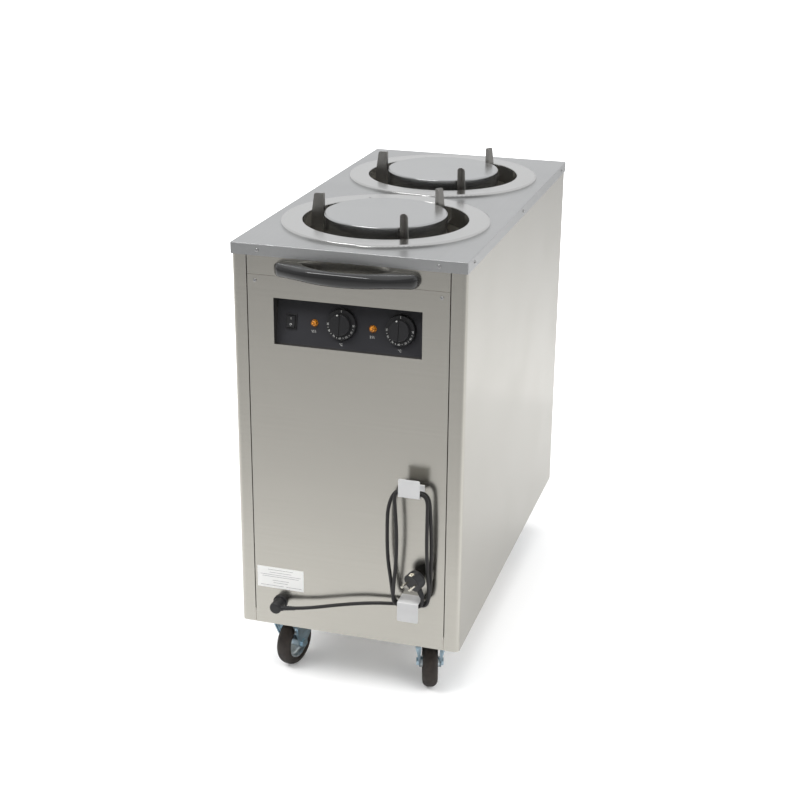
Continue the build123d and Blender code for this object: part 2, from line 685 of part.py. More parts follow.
def power_rocker():
    """Return the rocker key at its middle position, pivoted below the rim."""
    half_width = SWITCH_WIDTH / 2 - SWITCH_RIM - ROCKER_PLAY
    half_height = SWITCH_HEIGHT / 2 - SWITCH_RIM - 3 * ROCKER_PLAY
    lift = SWITCH_PROUD + ROCKER_CROWN
    outline = [
        (-half_height, SWITCH_PROUD + ROCKER_CROWN),
        (0, SWITCH_PROUD + ROCKER_CROWN / 2),
        (half_height, lift),
        (half_height, 0),
        (half_height / 2, -ROCKER_CROWN),
        (-half_height / 2, -ROCKER_CROWN),
        (-half_height, 0),
    ]
    key = swept_bar(outline, Plane.YZ, half_width)
    return on_fascia(SWITCH_X, SWITCH_Y, key)


def heating_lamp(shift):
    """Return an indicator lamp: a domed lens and the body behind the fascia."""
    outline = [
        (0, LAMP_HEIGHT),
        (LAMP_RADIUS - LAMP_HEIGHT / 2, LAMP_HEIGHT),
        (LAMP_RADIUS, 0),
        (LAMP_BODY_RADIUS, 0),
        (LAMP_BODY_RADIUS, -LAMP_BODY_DEPTH),
        (0, -LAMP_BODY_DEPTH),
    ]
    rounds = [((LAMP_RADIUS - LAMP_HEIGHT / 2, LAMP_HEIGHT), LAMP_ROUND)]
    return on_fascia(LAMP_X + shift, LAMP_Y, spun(outline, rounds))


def thermostats():
    """Return the two thermostat bodies with their spindle bushes."""
    bodies = []
    for step in (0, 1):
        back = -FASCIA_SHEET - THERMOSTAT_DEPTH / 2
        body = Pos(0, 0, back) * Box(THERMOSTAT_WIDTH, THERMOSTAT_HEIGHT, THERMOSTAT_DEPTH)
        body = fillet(body.edges().filter_by(Axis.Z), THERMOSTAT_ROUND)
        body += rod((0, 0, -FASCIA_SHEET), (0, 0, 0), THERMOSTAT_BUSH_RADIUS)
        body -= rod((0, 0, -SPINDLE_DEPTH - FIT), (0, 0, FASCIA_SHEET), SPINDLE_RADIUS + SPINDLE_PLAY)
        bodies.append(on_fascia(KNOB_X + step * LAMP_SPACING, KNOB_Y, body).solid())
    return Compound(children=bodies)


def thermostat_knob(shift):
    """Return a knob with its hollow dial skirt, finger groove and spindle."""
    dial_top = SKIRT_GAP + SKIRT_HEIGHT
    dial_under = dial_top - SKIRT_SHEET
    top = SKIRT_GAP + KNOB_HEIGHT
    outline = [
        (0, top),
        (KNOB_RADIUS - KNOB_TAPER, top),
        (KNOB_RADIUS, dial_top),
        (SKIRT_RADIUS - KNOB_TAPER, dial_top),
        (SKIRT_RADIUS, SKIRT_GAP),
        (SKIRT_RADIUS - SKIRT_SHEET, SKIRT_GAP),
        (SKIRT_RADIUS - KNOB_TAPER - SKIRT_SHEET, dial_under),
        (KNOB_HUB_RADIUS, dial_under),
        (KNOB_HUB_RADIUS, SKIRT_GAP),
        (SPINDLE_RADIUS, SKIRT_GAP),
        (SPINDLE_RADIUS, -SPINDLE_DEPTH),
        (0, -SPINDLE_DEPTH),
    ]
    rounds = [
        ((KNOB_RADIUS - KNOB_TAPER, top), KNOB_TAPER),
        ((SKIRT_RADIUS - KNOB_TAPER, dial_top), KNOB_TAPER),
    ]
    knob = spun(outline, rounds)
    knob -= Pos(0, 0, top) * Box(KNOB_GROOVE, 3 * KNOB_RADIUS, 2 * KNOB_GROOVE_DEPTH)
    return on_fascia(KNOB_X + shift, KNOB_Y, knob)


# ----------------------------------------------------- handle, hooks and label
def push_handle():
    """Return the bow handle: a crescent in plan with well rounded edges."""
    half = HANDLE_WIDTH / 2
    end_y = FRONT_Y - HANDLE_END_DEPTH
    foot_x = half - HANDLE_FOOT
    back_y = FRONT_Y - HANDLE_REACH + HANDLE_GRIP
    bow = ThreePointArc((-half, end_y), (0, FRONT_Y - HANDLE_REACH), (half, end_y))
    right = Polyline((half, end_y), (half, FRONT_Y), (foot_x, FRONT_Y))
    hollow = ThreePointArc((foot_x, FRONT_Y), (0, back_y), (-foot_x, FRONT_Y))
    left = Polyline((-foot_x, FRONT_Y), (-half, FRONT_Y), (-half, end_y))
    plan = make_face(bow + right + hollow + left)
    plan = fillet(plan.vertices().sort_by(Axis.Y)[:2], HANDLE_END_DEPTH / 2)
    z0 = DECK_TOP - HANDLE_DROP - HANDLE_HEIGHT / 2
    handle = Pos(0, 0, z0) * extrude(plan, HANDLE_HEIGHT)
    rims = handle.faces().filter_by(Axis.Z).edges()
    rims = rims.filter_by(lambda edge: edge.center().Y < FRONT_Y - FIT)
    return fillet(rims, HANDLE_ROUND)


def cord_hook(shelf_z, tab, upward):
    """Return a folded hook: wall flange, shelf and front tab.

    shelf_z is the face of the shelf that the cord lies against.
    """
    front = FRONT_Y - HOOK_REACH
    base = shelf_z - upward * HOOK_SHEET
    outline = [
        (FRONT_Y, base),
        (FRONT_Y, base + upward * HOOK_FLANGE),
        (FRONT_Y - HOOK_SHEET, base + upward * HOOK_FLANGE),
        (FRONT_Y - HOOK_SHEET, shelf_z),
        (front + HOOK_SHEET, shelf_z),
        (front + HOOK_SHEET, base + upward * tab),
        (front, base + upward * tab),
        (front, base),
    ]
    hook = swept_bar(outline, Plane.YZ, HOOK_WIDTH / 2)
    hook = fillet(hook.edges().filter_by(Axis.X).sort_by_distance((0, front, base))[0], HOOK_SHEET)
    corners = hook.edges().filter_by(Axis.Y).sort_by_distance((0, front, base + upward * tab))[:2]
    return Pos(HOOK_X, 0, 0) * fillet(corners, HOOK_CORNER)


def rating_label():
    """Return the bare sticker on the service panel."""
    z = DECK_TOP - LABEL_DROP
    half_x = LABEL_WIDTH / 2
    half_z = LABEL_HEIGHT / 2
    return block(
        LABEL_X - half_x, LABEL_X + half_x,
        FRONT_Y - LABEL_SHEET, FRONT_Y,
        z - half_z, z + half_z,
    )


def cable_gland():
    """Return the gland: flange, barrel with a side outlet, shank and lock nut."""
    outline = [
        (0, GLAND_REACH),
        (GLAND_BARREL_RADIUS, GLAND_REACH),
        (GLAND_BARREL_RADIUS, GLAND_FLANGE),
        (GLAND_FLANGE_RADIUS, GLAND_FLANGE),
        (GLAND_FLANGE_RADIUS, 0),
        (GLAND_SHANK_RADIUS, 0),
        (GLAND_SHANK_RADIUS, -SHEET),
        (GLAND_FLANGE_RADIUS, -SHEET),
        (GLAND_FLANGE_RADIUS, -SHEET - GLAND_NUT),
        (0, -SHEET - GLAND_NUT),
    ]
    rounds = [
        ((GLAND_BARREL_RADIUS, GLAND_REACH), GLAND_BARREL_ROUND),
        ((GLAND_FLANGE_RADIUS, GLAND_FLANGE), GLAND_FLANGE / 3),
    ]
    body = spun(outline, rounds)
    plane = Plane(origin=(GLAND_X, FRONT_Y, DECK_TOP - GLAND_DROP), x_dir=(1, 0, 0), z_dir=(0, -1, 0))
    middle = Vector(GLAND_X, CORD_START.Y, CORD_START.Z)
    return plane * body + rod(middle, CORD_START, GLAND_OUTLET_RADIUS)


# -------------------------------------------------------------------- casters
def caster_mount():
    """Return a caster's top plate, ball race and riveted kingpin, swivel axis on Z."""
    plate = Pos(0, 0, -MOUNT_SHEET / 2) * Box(MOUNT_WIDTH, MOUNT_LENGTH, MOUNT_SHEET)
    plate = fillet(plate.edges().filter_by(Axis.Z), MOUNT_BOLT_RADIUS)
    race_bottom = -MOUNT_SHEET - RACE_HEIGHT
    head_top = CROWN_TOP - CROWN_SHEET - FIT
    outline = [
        (0, -MOUNT_SHEET),
        (RACE_RADIUS, -MOUNT_SHEET),
        (RACE_RADIUS, race_bottom + RACE_CHAMFER),
        (RACE_RADIUS - RACE_CHAMFER, race_bottom),
        (KINGPIN_RADIUS, race_bottom),
        (KINGPIN_RADIUS, head_top),
        (KINGPIN_HEAD_RADIUS, head_top),
        (KINGPIN_HEAD_RADIUS - KINGPIN_CHAMFER, head_top - KINGPIN_HEAD),
        (0, head_top - KINGPIN_HEAD),
    ]
    plate += spun(outline)
    bolt = extrude(RegularPolygon(MOUNT_BOLT_RADIUS, 6), -MOUNT_BOLT_HEIGHT)
    for x in (-MOUNT_BOLT_X, MOUNT_BOLT_X):
        for y in (-MOUNT_BOLT_Y, MOUNT_BOLT_Y):
            plate += Pos(x, y, -MOUNT_SHEET) * bolt
    return plate


def leg_plate(side, ears):
    """Return one fork leg: a broad plate that leans in from the crown to the axle."""
    top = CROWN_TOP - CROWN_SHEET / 2
    circles = [
        (LEG_REAR, -LEG_TOP_RADIUS, LEG_TOP_RADIUS),
        (-LEG_FRONT, -LEG_TOP_RADIUS - CROWN_SKIRT, LEG_TOP_RADIUS),
        (-CASTER_TRAIL, -AXLE_DROP - top, LEG_FOOT_RADIUS),
    ]
    if ears:
        circles.append((-BRAKE_PIVOT_OUT, -BRAKE_PIVOT_DROP - top, BRAKE_EYE_RADIUS))
    outline = hull_of_circles(circles)
    lean = degrees(atan2(LEG_TOP_SPREAD - LEG_FOOT_SPREAD, AXLE_DROP + top))
    leg = extrude(Plane.YZ * outline, side * LEG_SHEET)
    return Pos(side * LEG_TOP_SPREAD, 0, top) * (Rot(0, side * lean, 0) * leg)


def leg_flange(side):
    """Return the flange along a leg's front edge, widening from the axle up to the crown."""
    top = CROWN_TOP - CROWN_SHEET
    head = Vector(0, -LEG_FRONT - LEG_TOP_RADIUS + LEG_SHEET, top - CROWN_SKIRT)
    foot = Vector(0, -CASTER_TRAIL - LEG_FOOT_RADIUS + LEG_SHEET, -AXLE_DROP)
    along = head - foot
    plane = Plane(origin=foot, x_dir=(1, 0, 0), z_dir=Vector(1, 0, 0).cross(along))
    outer = LEG_FOOT_SPREAD + LEG_SHEET
    outline = [
        (side * LEG_FOOT_SPREAD, LEG_FOOT_RADIUS),
        (side * outer, LEG_FOOT_RADIUS),
        (side * LEG_FLANGE_OUTER, along.length),
        (side * LEG_FLANGE_INNER, along.length),
    ]
    return extrude(profile(outline, plane), LEG_SHEET, both=False)


def caster_fork(ears):
    """Return a fork: crown, two flanged legs and the axle bolt, swivel axis on Z."""
    corner_x = LEG_TOP_SPREAD + LEG_SHEET - CROWN_SKIRT
    corners = [(x, -LEG_FRONT, CROWN_SKIRT) for x in (-corner_x, corner_x)]
    plan = hull_of_circles([(0, 0, CROWN_RADIUS)] + corners)
    plan -= Circle(KINGPIN_RADIUS + RUNNING_PLAY)
    fork = Pos(0, 0, CROWN_TOP - CROWN_SHEET) * extrude(plan, CROWN_SHEET)
    for side in (-1, 1):
        fork += leg_plate(side, ears)
        fork += leg_flange(side)
    axle = Pos(0, -CASTER_TRAIL, -AXLE_DROP)
    reach = LEG_FOOT_SPREAD + LEG_SHEET
    fork += axle * axle_disc(AXLE_RADIUS, 2 * reach)
    fork += axle * axle_heads(reach - FIT)
    if ears:
        pin = axle_disc(BRAKE_PIN_RADIUS, 2 * LEG_TOP_SPREAD)
        fork += Pos(0, -BRAKE_PIVOT_OUT, -BRAKE_PIVOT_DROP) * pin
    return fork


def axle_disc(radius, length):
    """Return a cylinder along X, centred on the origin."""
    return Rot(0, 90, 0) * Cylinder(radius, length)


def axle_heads(reach):
    """Return the axle bolt's head and nut, seated on the fork's legs."""
    head = extrude(RegularPolygon(AXLE_HEAD_RADIUS, 6), AXLE_HEAD)
    right = Pos(reach, 0, 0) * (Rot(0, 90, 0) * head)
    left = Pos(-reach, 0, 0) * (Rot(0, -90, 0) * head)
    return right + left


def spun_about_x(outline, corners=()):
    """Return a wheel part: an outline of (radius, offset) points spun about X."""
    return Rot(0, 90, 0) * spun(outline, corners)


def caster_rim():
    """Return the pressed wheel centre with its hub, axis along X."""
    half = RIM_WIDTH / 2
    hub = HUB_LENGTH / 2
    bore = AXLE_RADIUS + RUNNING_PLAY
    edge = TYRE_BORE_RADIUS - SCREW_PLAY
    web = RIM_SHEET / 2
    outline = [
        (bore, hub),
        (HUB_RADIUS, hub),
        (HUB_RADIUS, web),
        (edge - RIM_SHEET, web),
        (edge - RIM_SHEET, half),
        (edge, half),
        (edge, -half),
        (edge - RIM_SHEET, -half),
        (edge - RIM_SHEET, -web),
        (HUB_RADIUS, -web),
        (HUB_RADIUS, -hub),
        (bore, -hub),
    ]
    rounds = [((edge - RIM_SHEET, web), 2 * RIM_SHEET), ((edge - RIM_SHEET, -web), 2 * RIM_SHEET)]
    return spun_about_x(outline, rounds)


def caster_tyre():
    """Return the rubber tyre, axis along X."""
    half = TYRE_WIDTH / 2
    bead = RIM_WIDTH / 2
    outline = [
        (TYRE_BORE_RADIUS, bead),
        (TYRE_BORE_RADIUS + RIM_SHEET, half),
        (WHEEL_RADIUS, half),
        (WHEEL_RADIUS, -half),
        (TYRE_BORE_RADIUS + RIM_SHEET, -half),
        (TYRE_BORE_RADIUS, -bead),
    ]
    rounds = [((WHEEL_RADIUS, half), TYRE_SHOULDER), ((WHEEL_RADIUS, -half), TYRE_SHOULDER)]
    return spun_about_x(outline, rounds)


def brake_pedal():
    """Return a released brake pedal on its pivot, in its caster's frame."""
    half = BRAKE_WIDTH / 2
    eye = BRAKE_TUBE_RADIUS
    outline = [
        (0, eye),
        (BRAKE_PEDAL, eye - BRAKE_SHEET),
        (BRAKE_PEDAL, eye - 2 * BRAKE_SHEET),
        (0, eye - BRAKE_SHEET),
    ]
    outline = [(-out, up) for out, up in outline]
    pedal = swept_bar(outline, Plane.YZ, half)
    pedal += axle_disc(eye, BRAKE_WIDTH)
    pedal -= axle_disc(BRAKE_PIN_RADIUS + RUNNING_PLAY, 2 * BRAKE_WIDTH)
    return Pos(0, -BRAKE_PIVOT_OUT, -BRAKE_PIVOT_DROP) * pedal


def at_caster(side_x, side_y, yaw, shape):
    """Return a caster piece moved to its corner and turned to its rest angle."""
    place = Pos(side_x * CASTER_X, CENTRE_Y + side_y * CASTER_Y, BASE_Z)
    return place * turned(shape, yaw)


def at_wheel(side_x, side_y, yaw, shape):
    """Return a wheel piece moved to its axle."""
    return at_caster(side_x, side_y, yaw, Pos(0, -CASTER_TRAIL, -AXLE_DROP) * shape)


# ----------------------------------------------------------------------- cord
def route_point(x, out, drop):
    """Return a cord point from its place in front of the panel and below the deck."""
    return Vector(x, FRONT_Y - out, DECK_TOP - drop)


UPPER_RUN = UPPER_HOOK_DROP - CORD_RADIUS - CORD_LIFT
LOWER_RUN = LOWER_HOOK_DROP + HOOK_SHEET + CORD_RADIUS + 3 * CORD_LIFT
CORD_START = route_point(GLAND_X + GLAND_OUTLET, GLAND_OUTLET_OUT, GLAND_DROP)
LEAD_POINTS = [
    CORD_START,
    route_point(GLAND_X + 2 * GLAND_OUTLET, GLAND_OUTLET_OUT, GLAND_DROP),
    route_point(-72.0, 22.5, 718.5),
    route_point(-16.0, 21.0, 703.5),
    route_point(30.0, 19.5, 693.0),
    route_point(70.0, 15.5, 687.5),
]
HANK_POINTS = [
    route_point(159.0, LAYER_ONE, LOWER_RUN),
    route_point(167.5, 13.8, 647.0),
    route_point(163.5, 15.8, 600.0),
    route_point(162.0, 17.6, 548.0),
    route_point(162.8, 19.5, 495.0),
    route_point(159.5, LAYER_TWO, UPPER_RUN),
    route_point(107.0, LAYER_TWO, UPPER_RUN + 0.1),
    route_point(85.8, LAYER_TWO, 478.0),
    route_point(84.8, LAYER_TWO, 529.0),
    route_point(86.0, LAYER_TWO, 585.0),
    route_point(93.5, LAYER_TWO, 635.0),
    route_point(104.5, LAYER_TWO, LOWER_RUN),
    route_point(159.5, LAYER_TWO, LOWER_RUN + 0.3),
    route_point(169.3, 21.8, 647.0),
    route_point(165.6, 24.2, 600.0),
    route_point(164.0, 25.8, 548.0),
    route_point(164.8, 27.2, 495.0),
    route_point(159.5, LAYER_THREE, UPPER_RUN),
    route_point(105.0, LAYER_THREE, UPPER_RUN + 0.1),
    route_point(98.6, LAYER_THREE, 483.0),
    route_point(98.4, LAYER_THREE, 533.0),
    route_point(99.6, LAYER_THREE, 585.0),
    route_point(98.2, LAYER_THREE, 634.0),
    route_point(104.0, LAYER_THREE, LOWER_RUN),
    route_point(144.0, LAYER_THREE, LOWER_RUN + 1.0),
    route_point(159.5, LAYER_THREE, 672.0),
]
SHELF_BENDS = {5: 10.0, 6: 10.0, 11: 12.0, 17: 10.0, 18: 8.0, 23: 12.0}
CORD_SPLIT = LEAD_POINTS[-1] + (HANK_POINTS[0] - LEAD_POINTS[-1]) * 0.4
CORD_END = route_point(157.0, LAYER_THREE, 654.0)


def bend_radii(points):
    """Return each inner corner's radius: 0.45 of the shorter run over tan(half turn)."""
    radii = []
    for before, here, after in zip(points, points[1:], points[2:]):
        first = here - before
        second = after - here
        turn = radians(first.get_angle(second))
        shorter = min(first.length, second.length)
        radii.append(min(0.45 * shorter / tan(turn / 2), 400.0))
    return radii


def cord_tube(points, label, tight):
    """Return a cord stretch swept along straight runs and tangent arcs, and its path.

    tight gives the radius of each bend that hugs a hook, by the bend's place in the run.
    """
    radii = bend_radii(points)
    for place, radius in tight.items():
        radii[place] = radius
    path = FilletPolyline(*points, radius=radii)
    section = Plane(origin=path @ 0, z_dir=path % 0) * Circle(CORD_RADIUS)
    tube = sweep(section, path=path)
    print(label, "length", round(path.length, 1), "radii", [round(radius, 1) for radius in radii])
    volume = pi * CORD_RADIUS ** 2 * path.length
    print(label, "volume over section times length", round(tube.volume / volume, 4))
    return tube, path


def least_gap(path):
    """Return the least free gap between turns of a path, measured on points."""
    count = int(path.length / 2)
    points = [path @ (step / count) for step in range(count + 1)]
    spacing = path.length / count
    skip = int(8 * CORD_RADIUS / spacing)
    closest = CABINET_WIDTH
    for first in range(count):
        for second in range(first + skip, count + 1):
            closest = min(closest, (points[first] - points[second]).length)
    return closest - 2 * CORD_RADIUS


def plug_plane():
    """Return the plug's own frame: origin on its face, Z out along the pins."""
    yaw = radians(PLUG_YAW)
    pitch = radians(PLUG_PITCH)
    out = (-sin(yaw) * cos(pitch), -cos(yaw) * cos(pitch), -sin(pitch))
    return Plane(origin=route_point(PLUG_X, PLUG_OUT, PLUG_DROP), x_dir=(cos(yaw), -sin(yaw), 0), z_dir=out)


def plug_body():
    """Return the moulded plug with its tapered cord boot."""
    outline = [
        (0, 0),
        (PLUG_RADIUS, 0),
        (PLUG_RADIUS, -PLUG_DEPTH),
        (0, -PLUG_DEPTH),
    ]
    rounds = [((PLUG_RADIUS, -PLUG_DEPTH), PLUG_BACK_ROUND), ((PLUG_RADIUS, 0), PLUG_RIM_ROUND)]
    body = plug_plane() * spun(outline, rounds)
    root = (plug_plane() * Pos(0, 0, -PLUG_DEPTH / 2)).position
    along = CORD_END - HANK_POINTS[-1]
    tip_plane = Plane(origin=CORD_END, z_dir=along)
    root_plane = Plane(origin=root, z_dir=root - CORD_END)
    body += loft([tip_plane * Circle(BOOT_TIP_RADIUS), root_plane * Circle(BOOT_ROOT_RADIUS)])
    slot = Box(EARTH_WIDTH, 2 * EARTH_SHEET, 2 * EARTH_DEPTH)
    for side in (-1, 1):
        body -= plug_plane() * (Pos(0, side * PLUG_RADIUS, 0) * slot)
    return body


def plug_pins():
    """Return the plug's two pins and two earth contacts."""
    solids = []
    for side in (-1, 1):
        pin = Pos(side * PIN_SPACING / 2, 0, PIN_LENGTH / 2) * Cylinder(PIN_RADIUS, PIN_LENGTH)
        pin = fillet(pin.faces().sort_by(Axis.Z)[-1].edges(), PIN_RADIUS / 2)
        solids.append((plug_plane() * pin).solid())
        contact = Pos(0, side * (PLUG_RADIUS - EARTH_SHEET / 2), -EARTH_DEPTH / 2)
        strip = contact * Box(EARTH_WIDTH - FIT, EARTH_SHEET, EARTH_DEPTH - FIT)
        solids.append((plug_plane() * strip).solid())
    return Compound(children=solids)


# ------------------------------------------------------------------- assembly
def build_nodes():
    """Return every node's shape by its name."""
    nodes = {
        "base_plate": base_plate(),
        "side_panel_left": side_panel(-1),
        "side_panel_right": side_panel(1),
        "rear_panel": rear_panel(),
        "front_top_rail": front_top_rail(),
        "front_service_panel": front_service_panel(),
        "deck_top": deck_top(),
        "casing_screws": casing_screws(),
        "control_housing": control_housing(),
        "control_fascia": control_fascia(),
        "switch_housing": switch_housing(),
        "power_rocker": power_rocker(),
        "heating_lamp_left": heating_lamp(0),
        "heating_lamp_right": heating_lamp(LAMP_SPACING),
        "thermostats": thermostats(),
        "thermostat_knob_left": thermostat_knob(0),
        "thermostat_knob_right": thermostat_knob(LAMP_SPACING),
        "push_handle": push_handle(),
        "cord_hook_upper": cord_hook(DECK_TOP - UPPER_HOOK_DROP, UPPER_HOOK_TAB, 1),
        "cord_hook_lower": cord_hook(DECK_TOP - LOWER_HOOK_DROP - HOOK_SHEET, LOWER_HOOK_TAB, -1),
        "rating_label": rating_label(),
        "cable_gland": cable_gland(),
    }
    for name, side in (("front", -1), ("rear", 1)):
        centre = Pos(0, CENTRE_Y + side * WELL_SPACING / 2, 0)
        nodes["well_collar_" + name] = centre * well_collar()
        nodes["well_tube_" + name] = centre * well_tube()
        nodes["guide_rails_" + name] = centre * guide_rails()
        nodes["heater_" + name] = centre * heater()
        nodes["platform_" + name] = centre * platform()
        nodes["carriage_" + name] = centre * carriage()
        nodes["lift_springs_" + name] = centre * lift_springs()
    corners = [
        ("front_left", -1, -1, FRONT_LEFT_YAW),
        ("front_right", 1, -1, FRONT_RIGHT_YAW),
        ("rear_left", -1, 1, REAR_LEFT_YAW),
        ("rear_right", 1, 1, REAR_RIGHT_YAW),
    ]
    for name, side_x, side_y, yaw in corners:
        braked = side_y > 0
        nodes["caster_mount_" + name] = at_caster(side_x, side_y, 0, caster_mount())
        nodes["caster_fork_" + name] = at_caster(side_x, side_y, yaw, caster_fork(braked))
        nodes["caster_rim_" + name] = at_wheel(side_x, side_y, yaw, caster_rim())
        nodes["caster_tyre_" + name] = at_wheel(side_x, side_y, yaw, caster_tyre())
        if braked:
            nodes["brake_pedal_" + name] = at_caster(side_x, side_y, yaw, brake_pedal())
    lead, _ = cord_tube(LEAD_POINTS + [CORD_SPLIT], "lead", {})
    hank, hank_path = cord_tube([CORD_SPLIT] + HANK_POINTS + [CORD_END], "hank", SHELF_BENDS)
    print("hank least gap", round(least_gap(hank_path), 2))
    nodes["power_cord_lead"] = lead
    nodes["power_cord_hank"] = hank
    nodes["plug_body"] = plug_body()
    nodes["plug_pins"] = plug_pins()
    return nodes


os.makedirs("parts", exist_ok=True)
for node_name, node_shape in build_nodes().items():
    export_step(node_shape, f"parts/{node_name}.step")
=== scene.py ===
"""Looks of a heated two-well plate dispenser cart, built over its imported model.

Everything is in metres in the cart's own frame: +Z up, the floor at Z = 0 and the control
side towards -Y. Each sub-assembly is a class that shapes its extra pieces and dresses both
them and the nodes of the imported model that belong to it.
"""
import logging
from dataclasses import dataclass
from enum import Enum
from math import copysign, cos, pi, radians, sin, sqrt

import bmesh
import bpy
from mathutils import Matrix, Vector

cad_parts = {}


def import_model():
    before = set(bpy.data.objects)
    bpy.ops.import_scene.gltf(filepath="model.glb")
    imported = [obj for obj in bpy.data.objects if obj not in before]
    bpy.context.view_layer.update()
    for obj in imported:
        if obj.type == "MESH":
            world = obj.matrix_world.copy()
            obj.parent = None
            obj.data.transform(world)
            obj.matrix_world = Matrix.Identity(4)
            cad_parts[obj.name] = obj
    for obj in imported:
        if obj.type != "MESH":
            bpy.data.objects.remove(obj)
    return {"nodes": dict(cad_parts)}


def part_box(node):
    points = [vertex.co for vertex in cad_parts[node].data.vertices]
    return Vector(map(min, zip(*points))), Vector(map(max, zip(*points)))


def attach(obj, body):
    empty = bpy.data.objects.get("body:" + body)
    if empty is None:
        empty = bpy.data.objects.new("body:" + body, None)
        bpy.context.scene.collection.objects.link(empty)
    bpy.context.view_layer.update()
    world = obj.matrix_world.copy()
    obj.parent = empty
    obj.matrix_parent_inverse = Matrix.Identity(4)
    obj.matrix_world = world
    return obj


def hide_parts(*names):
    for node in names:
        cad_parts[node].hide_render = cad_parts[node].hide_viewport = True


LOG = logging.getLogger("plate_dispenser")
CABINET = "cabinet"
MERGE_DISTANCE = 1e-6
PRINT_THICKNESS = 0.0001
PRINT_BEVEL = 0.00003
Colour = tuple[float, float, float]
Point = tuple[float, float, float]
Span = tuple[float, float]
BMesh = bmesh.types.BMesh
Material = bpy.types.Material
Node = bpy.types.Node
Socket = bpy.types.NodeSocket
Piece = bpy.types.Object
Nodes = dict[str, Piece]


class Corner(Enum):
    """The four casters, named by the corner that they stand under."""

    FRONT_LEFT = "front_left"
    FRONT_RIGHT = "front_right"
    REAR_LEFT = "rear_left"
    REAR_RIGHT = "rear_right"


class Well(Enum):
    """The two plate wells."""

    FRONT = "front"
    REAR = "rear"


class Grain(Enum):
    """The stretch of a brushed grain, as the noise scale along X, Y and Z."""

    LEVEL = (2.2, 2.2, 1500.0)
    LENGTHWISE = (1300.0, 2.2, 1300.0)


# --- mesh helpers
def mesh_piece(name: str, work: BMesh, place: Matrix | None = None) -> Piece:
    """Turn a bmesh into a finished object at the origin.

    Args:
        name: The new object's name.
        work: The shape, which is freed here.
        place: Where the shape goes, baked into its mesh.

    Returns:
        The object, linked to the scene.
    """
    mesh = bpy.data.meshes.new(name)
    work.to_mesh(mesh)
    work.free()
    if place is not None:
        mesh.transform(place)
    piece = bpy.data.objects.new(name, mesh)
    bpy.context.scene.collection.objects.link(piece)
    return piece


def smooth(piece: Piece, angle: float = 35.0) -> None:
    """Shade a piece smooth, but keep edges that turn by more than angle degrees sharp."""
    work = bmesh.new()
    work.from_mesh(piece.data)
    for edge in work.edges:
        edge.smooth = edge.calc_face_angle(0.0) < radians(angle)
    for face in work.faces:
        face.smooth = True
    work.to_mesh(piece.data)
    work.free()


def spun_piece(name: str, outline: list[Span], place: Matrix, steps: int) -> Piece:
    """Spin an outline of (radius, height) points about Z.

    Args:
        name: The new object's name.
        outline: The points, from the foot up on the outside.
        place: Where the spun shape goes.
        steps: How many facets a full turn has.

    Returns:
        The spun object.
    """
    work = bmesh.new()
    corners = [work.verts.new((radius, 0.0, height)) for radius, height in outline]
    edges = [work.edges.new(pair) for pair in zip(corners, corners[1:])]
    bmesh.ops.spin(
        work,
        geom=corners + edges,
        cent=(0.0, 0.0, 0.0),
        axis=(0.0, 0.0, 1.0),
        angle=2 * pi,
        steps=steps,
        use_merge=True,
    )
    bmesh.ops.remove_doubles(work, verts=work.verts, dist=MERGE_DISTANCE)
    bmesh.ops.recalc_face_normals(work, faces=work.faces)
    piece = mesh_piece(name, work, place)
    smooth(piece)
    return piece


def bevelled_box(work: BMesh, size: Point, place: Matrix, bevel: float) -> None:
    """Add a box with rounded edges to a bmesh.

    Args:
        work: The bmesh to add to.
        size: The box's width, depth and height.
        place: Where the box goes.
        bevel: The radius of its edges.
    """
    made = bmesh.ops.create_cube(work, size=1.0, matrix=place @ Matrix.Diagonal((*size, 1.0)))
    edges = list({edge for vert in made["verts"] for edge in vert.link_edges})
    bmesh.ops.bevel(
        work,
        geom=edges,
        offset=bevel,
        segments=2,
        profile=0.5,
        affect="EDGES",
        material=-1,
    )


def plane_frame(origin: Vector, across: Vector, out: Vector) -> Matrix:
    """Return the placement whose X is across, whose Z is out and whose origin is given."""
    up = out.cross(across)
    turn = Matrix((across, up, out)).transposed()
    return Matrix.Translation(origin) @ turn.to_4x4()


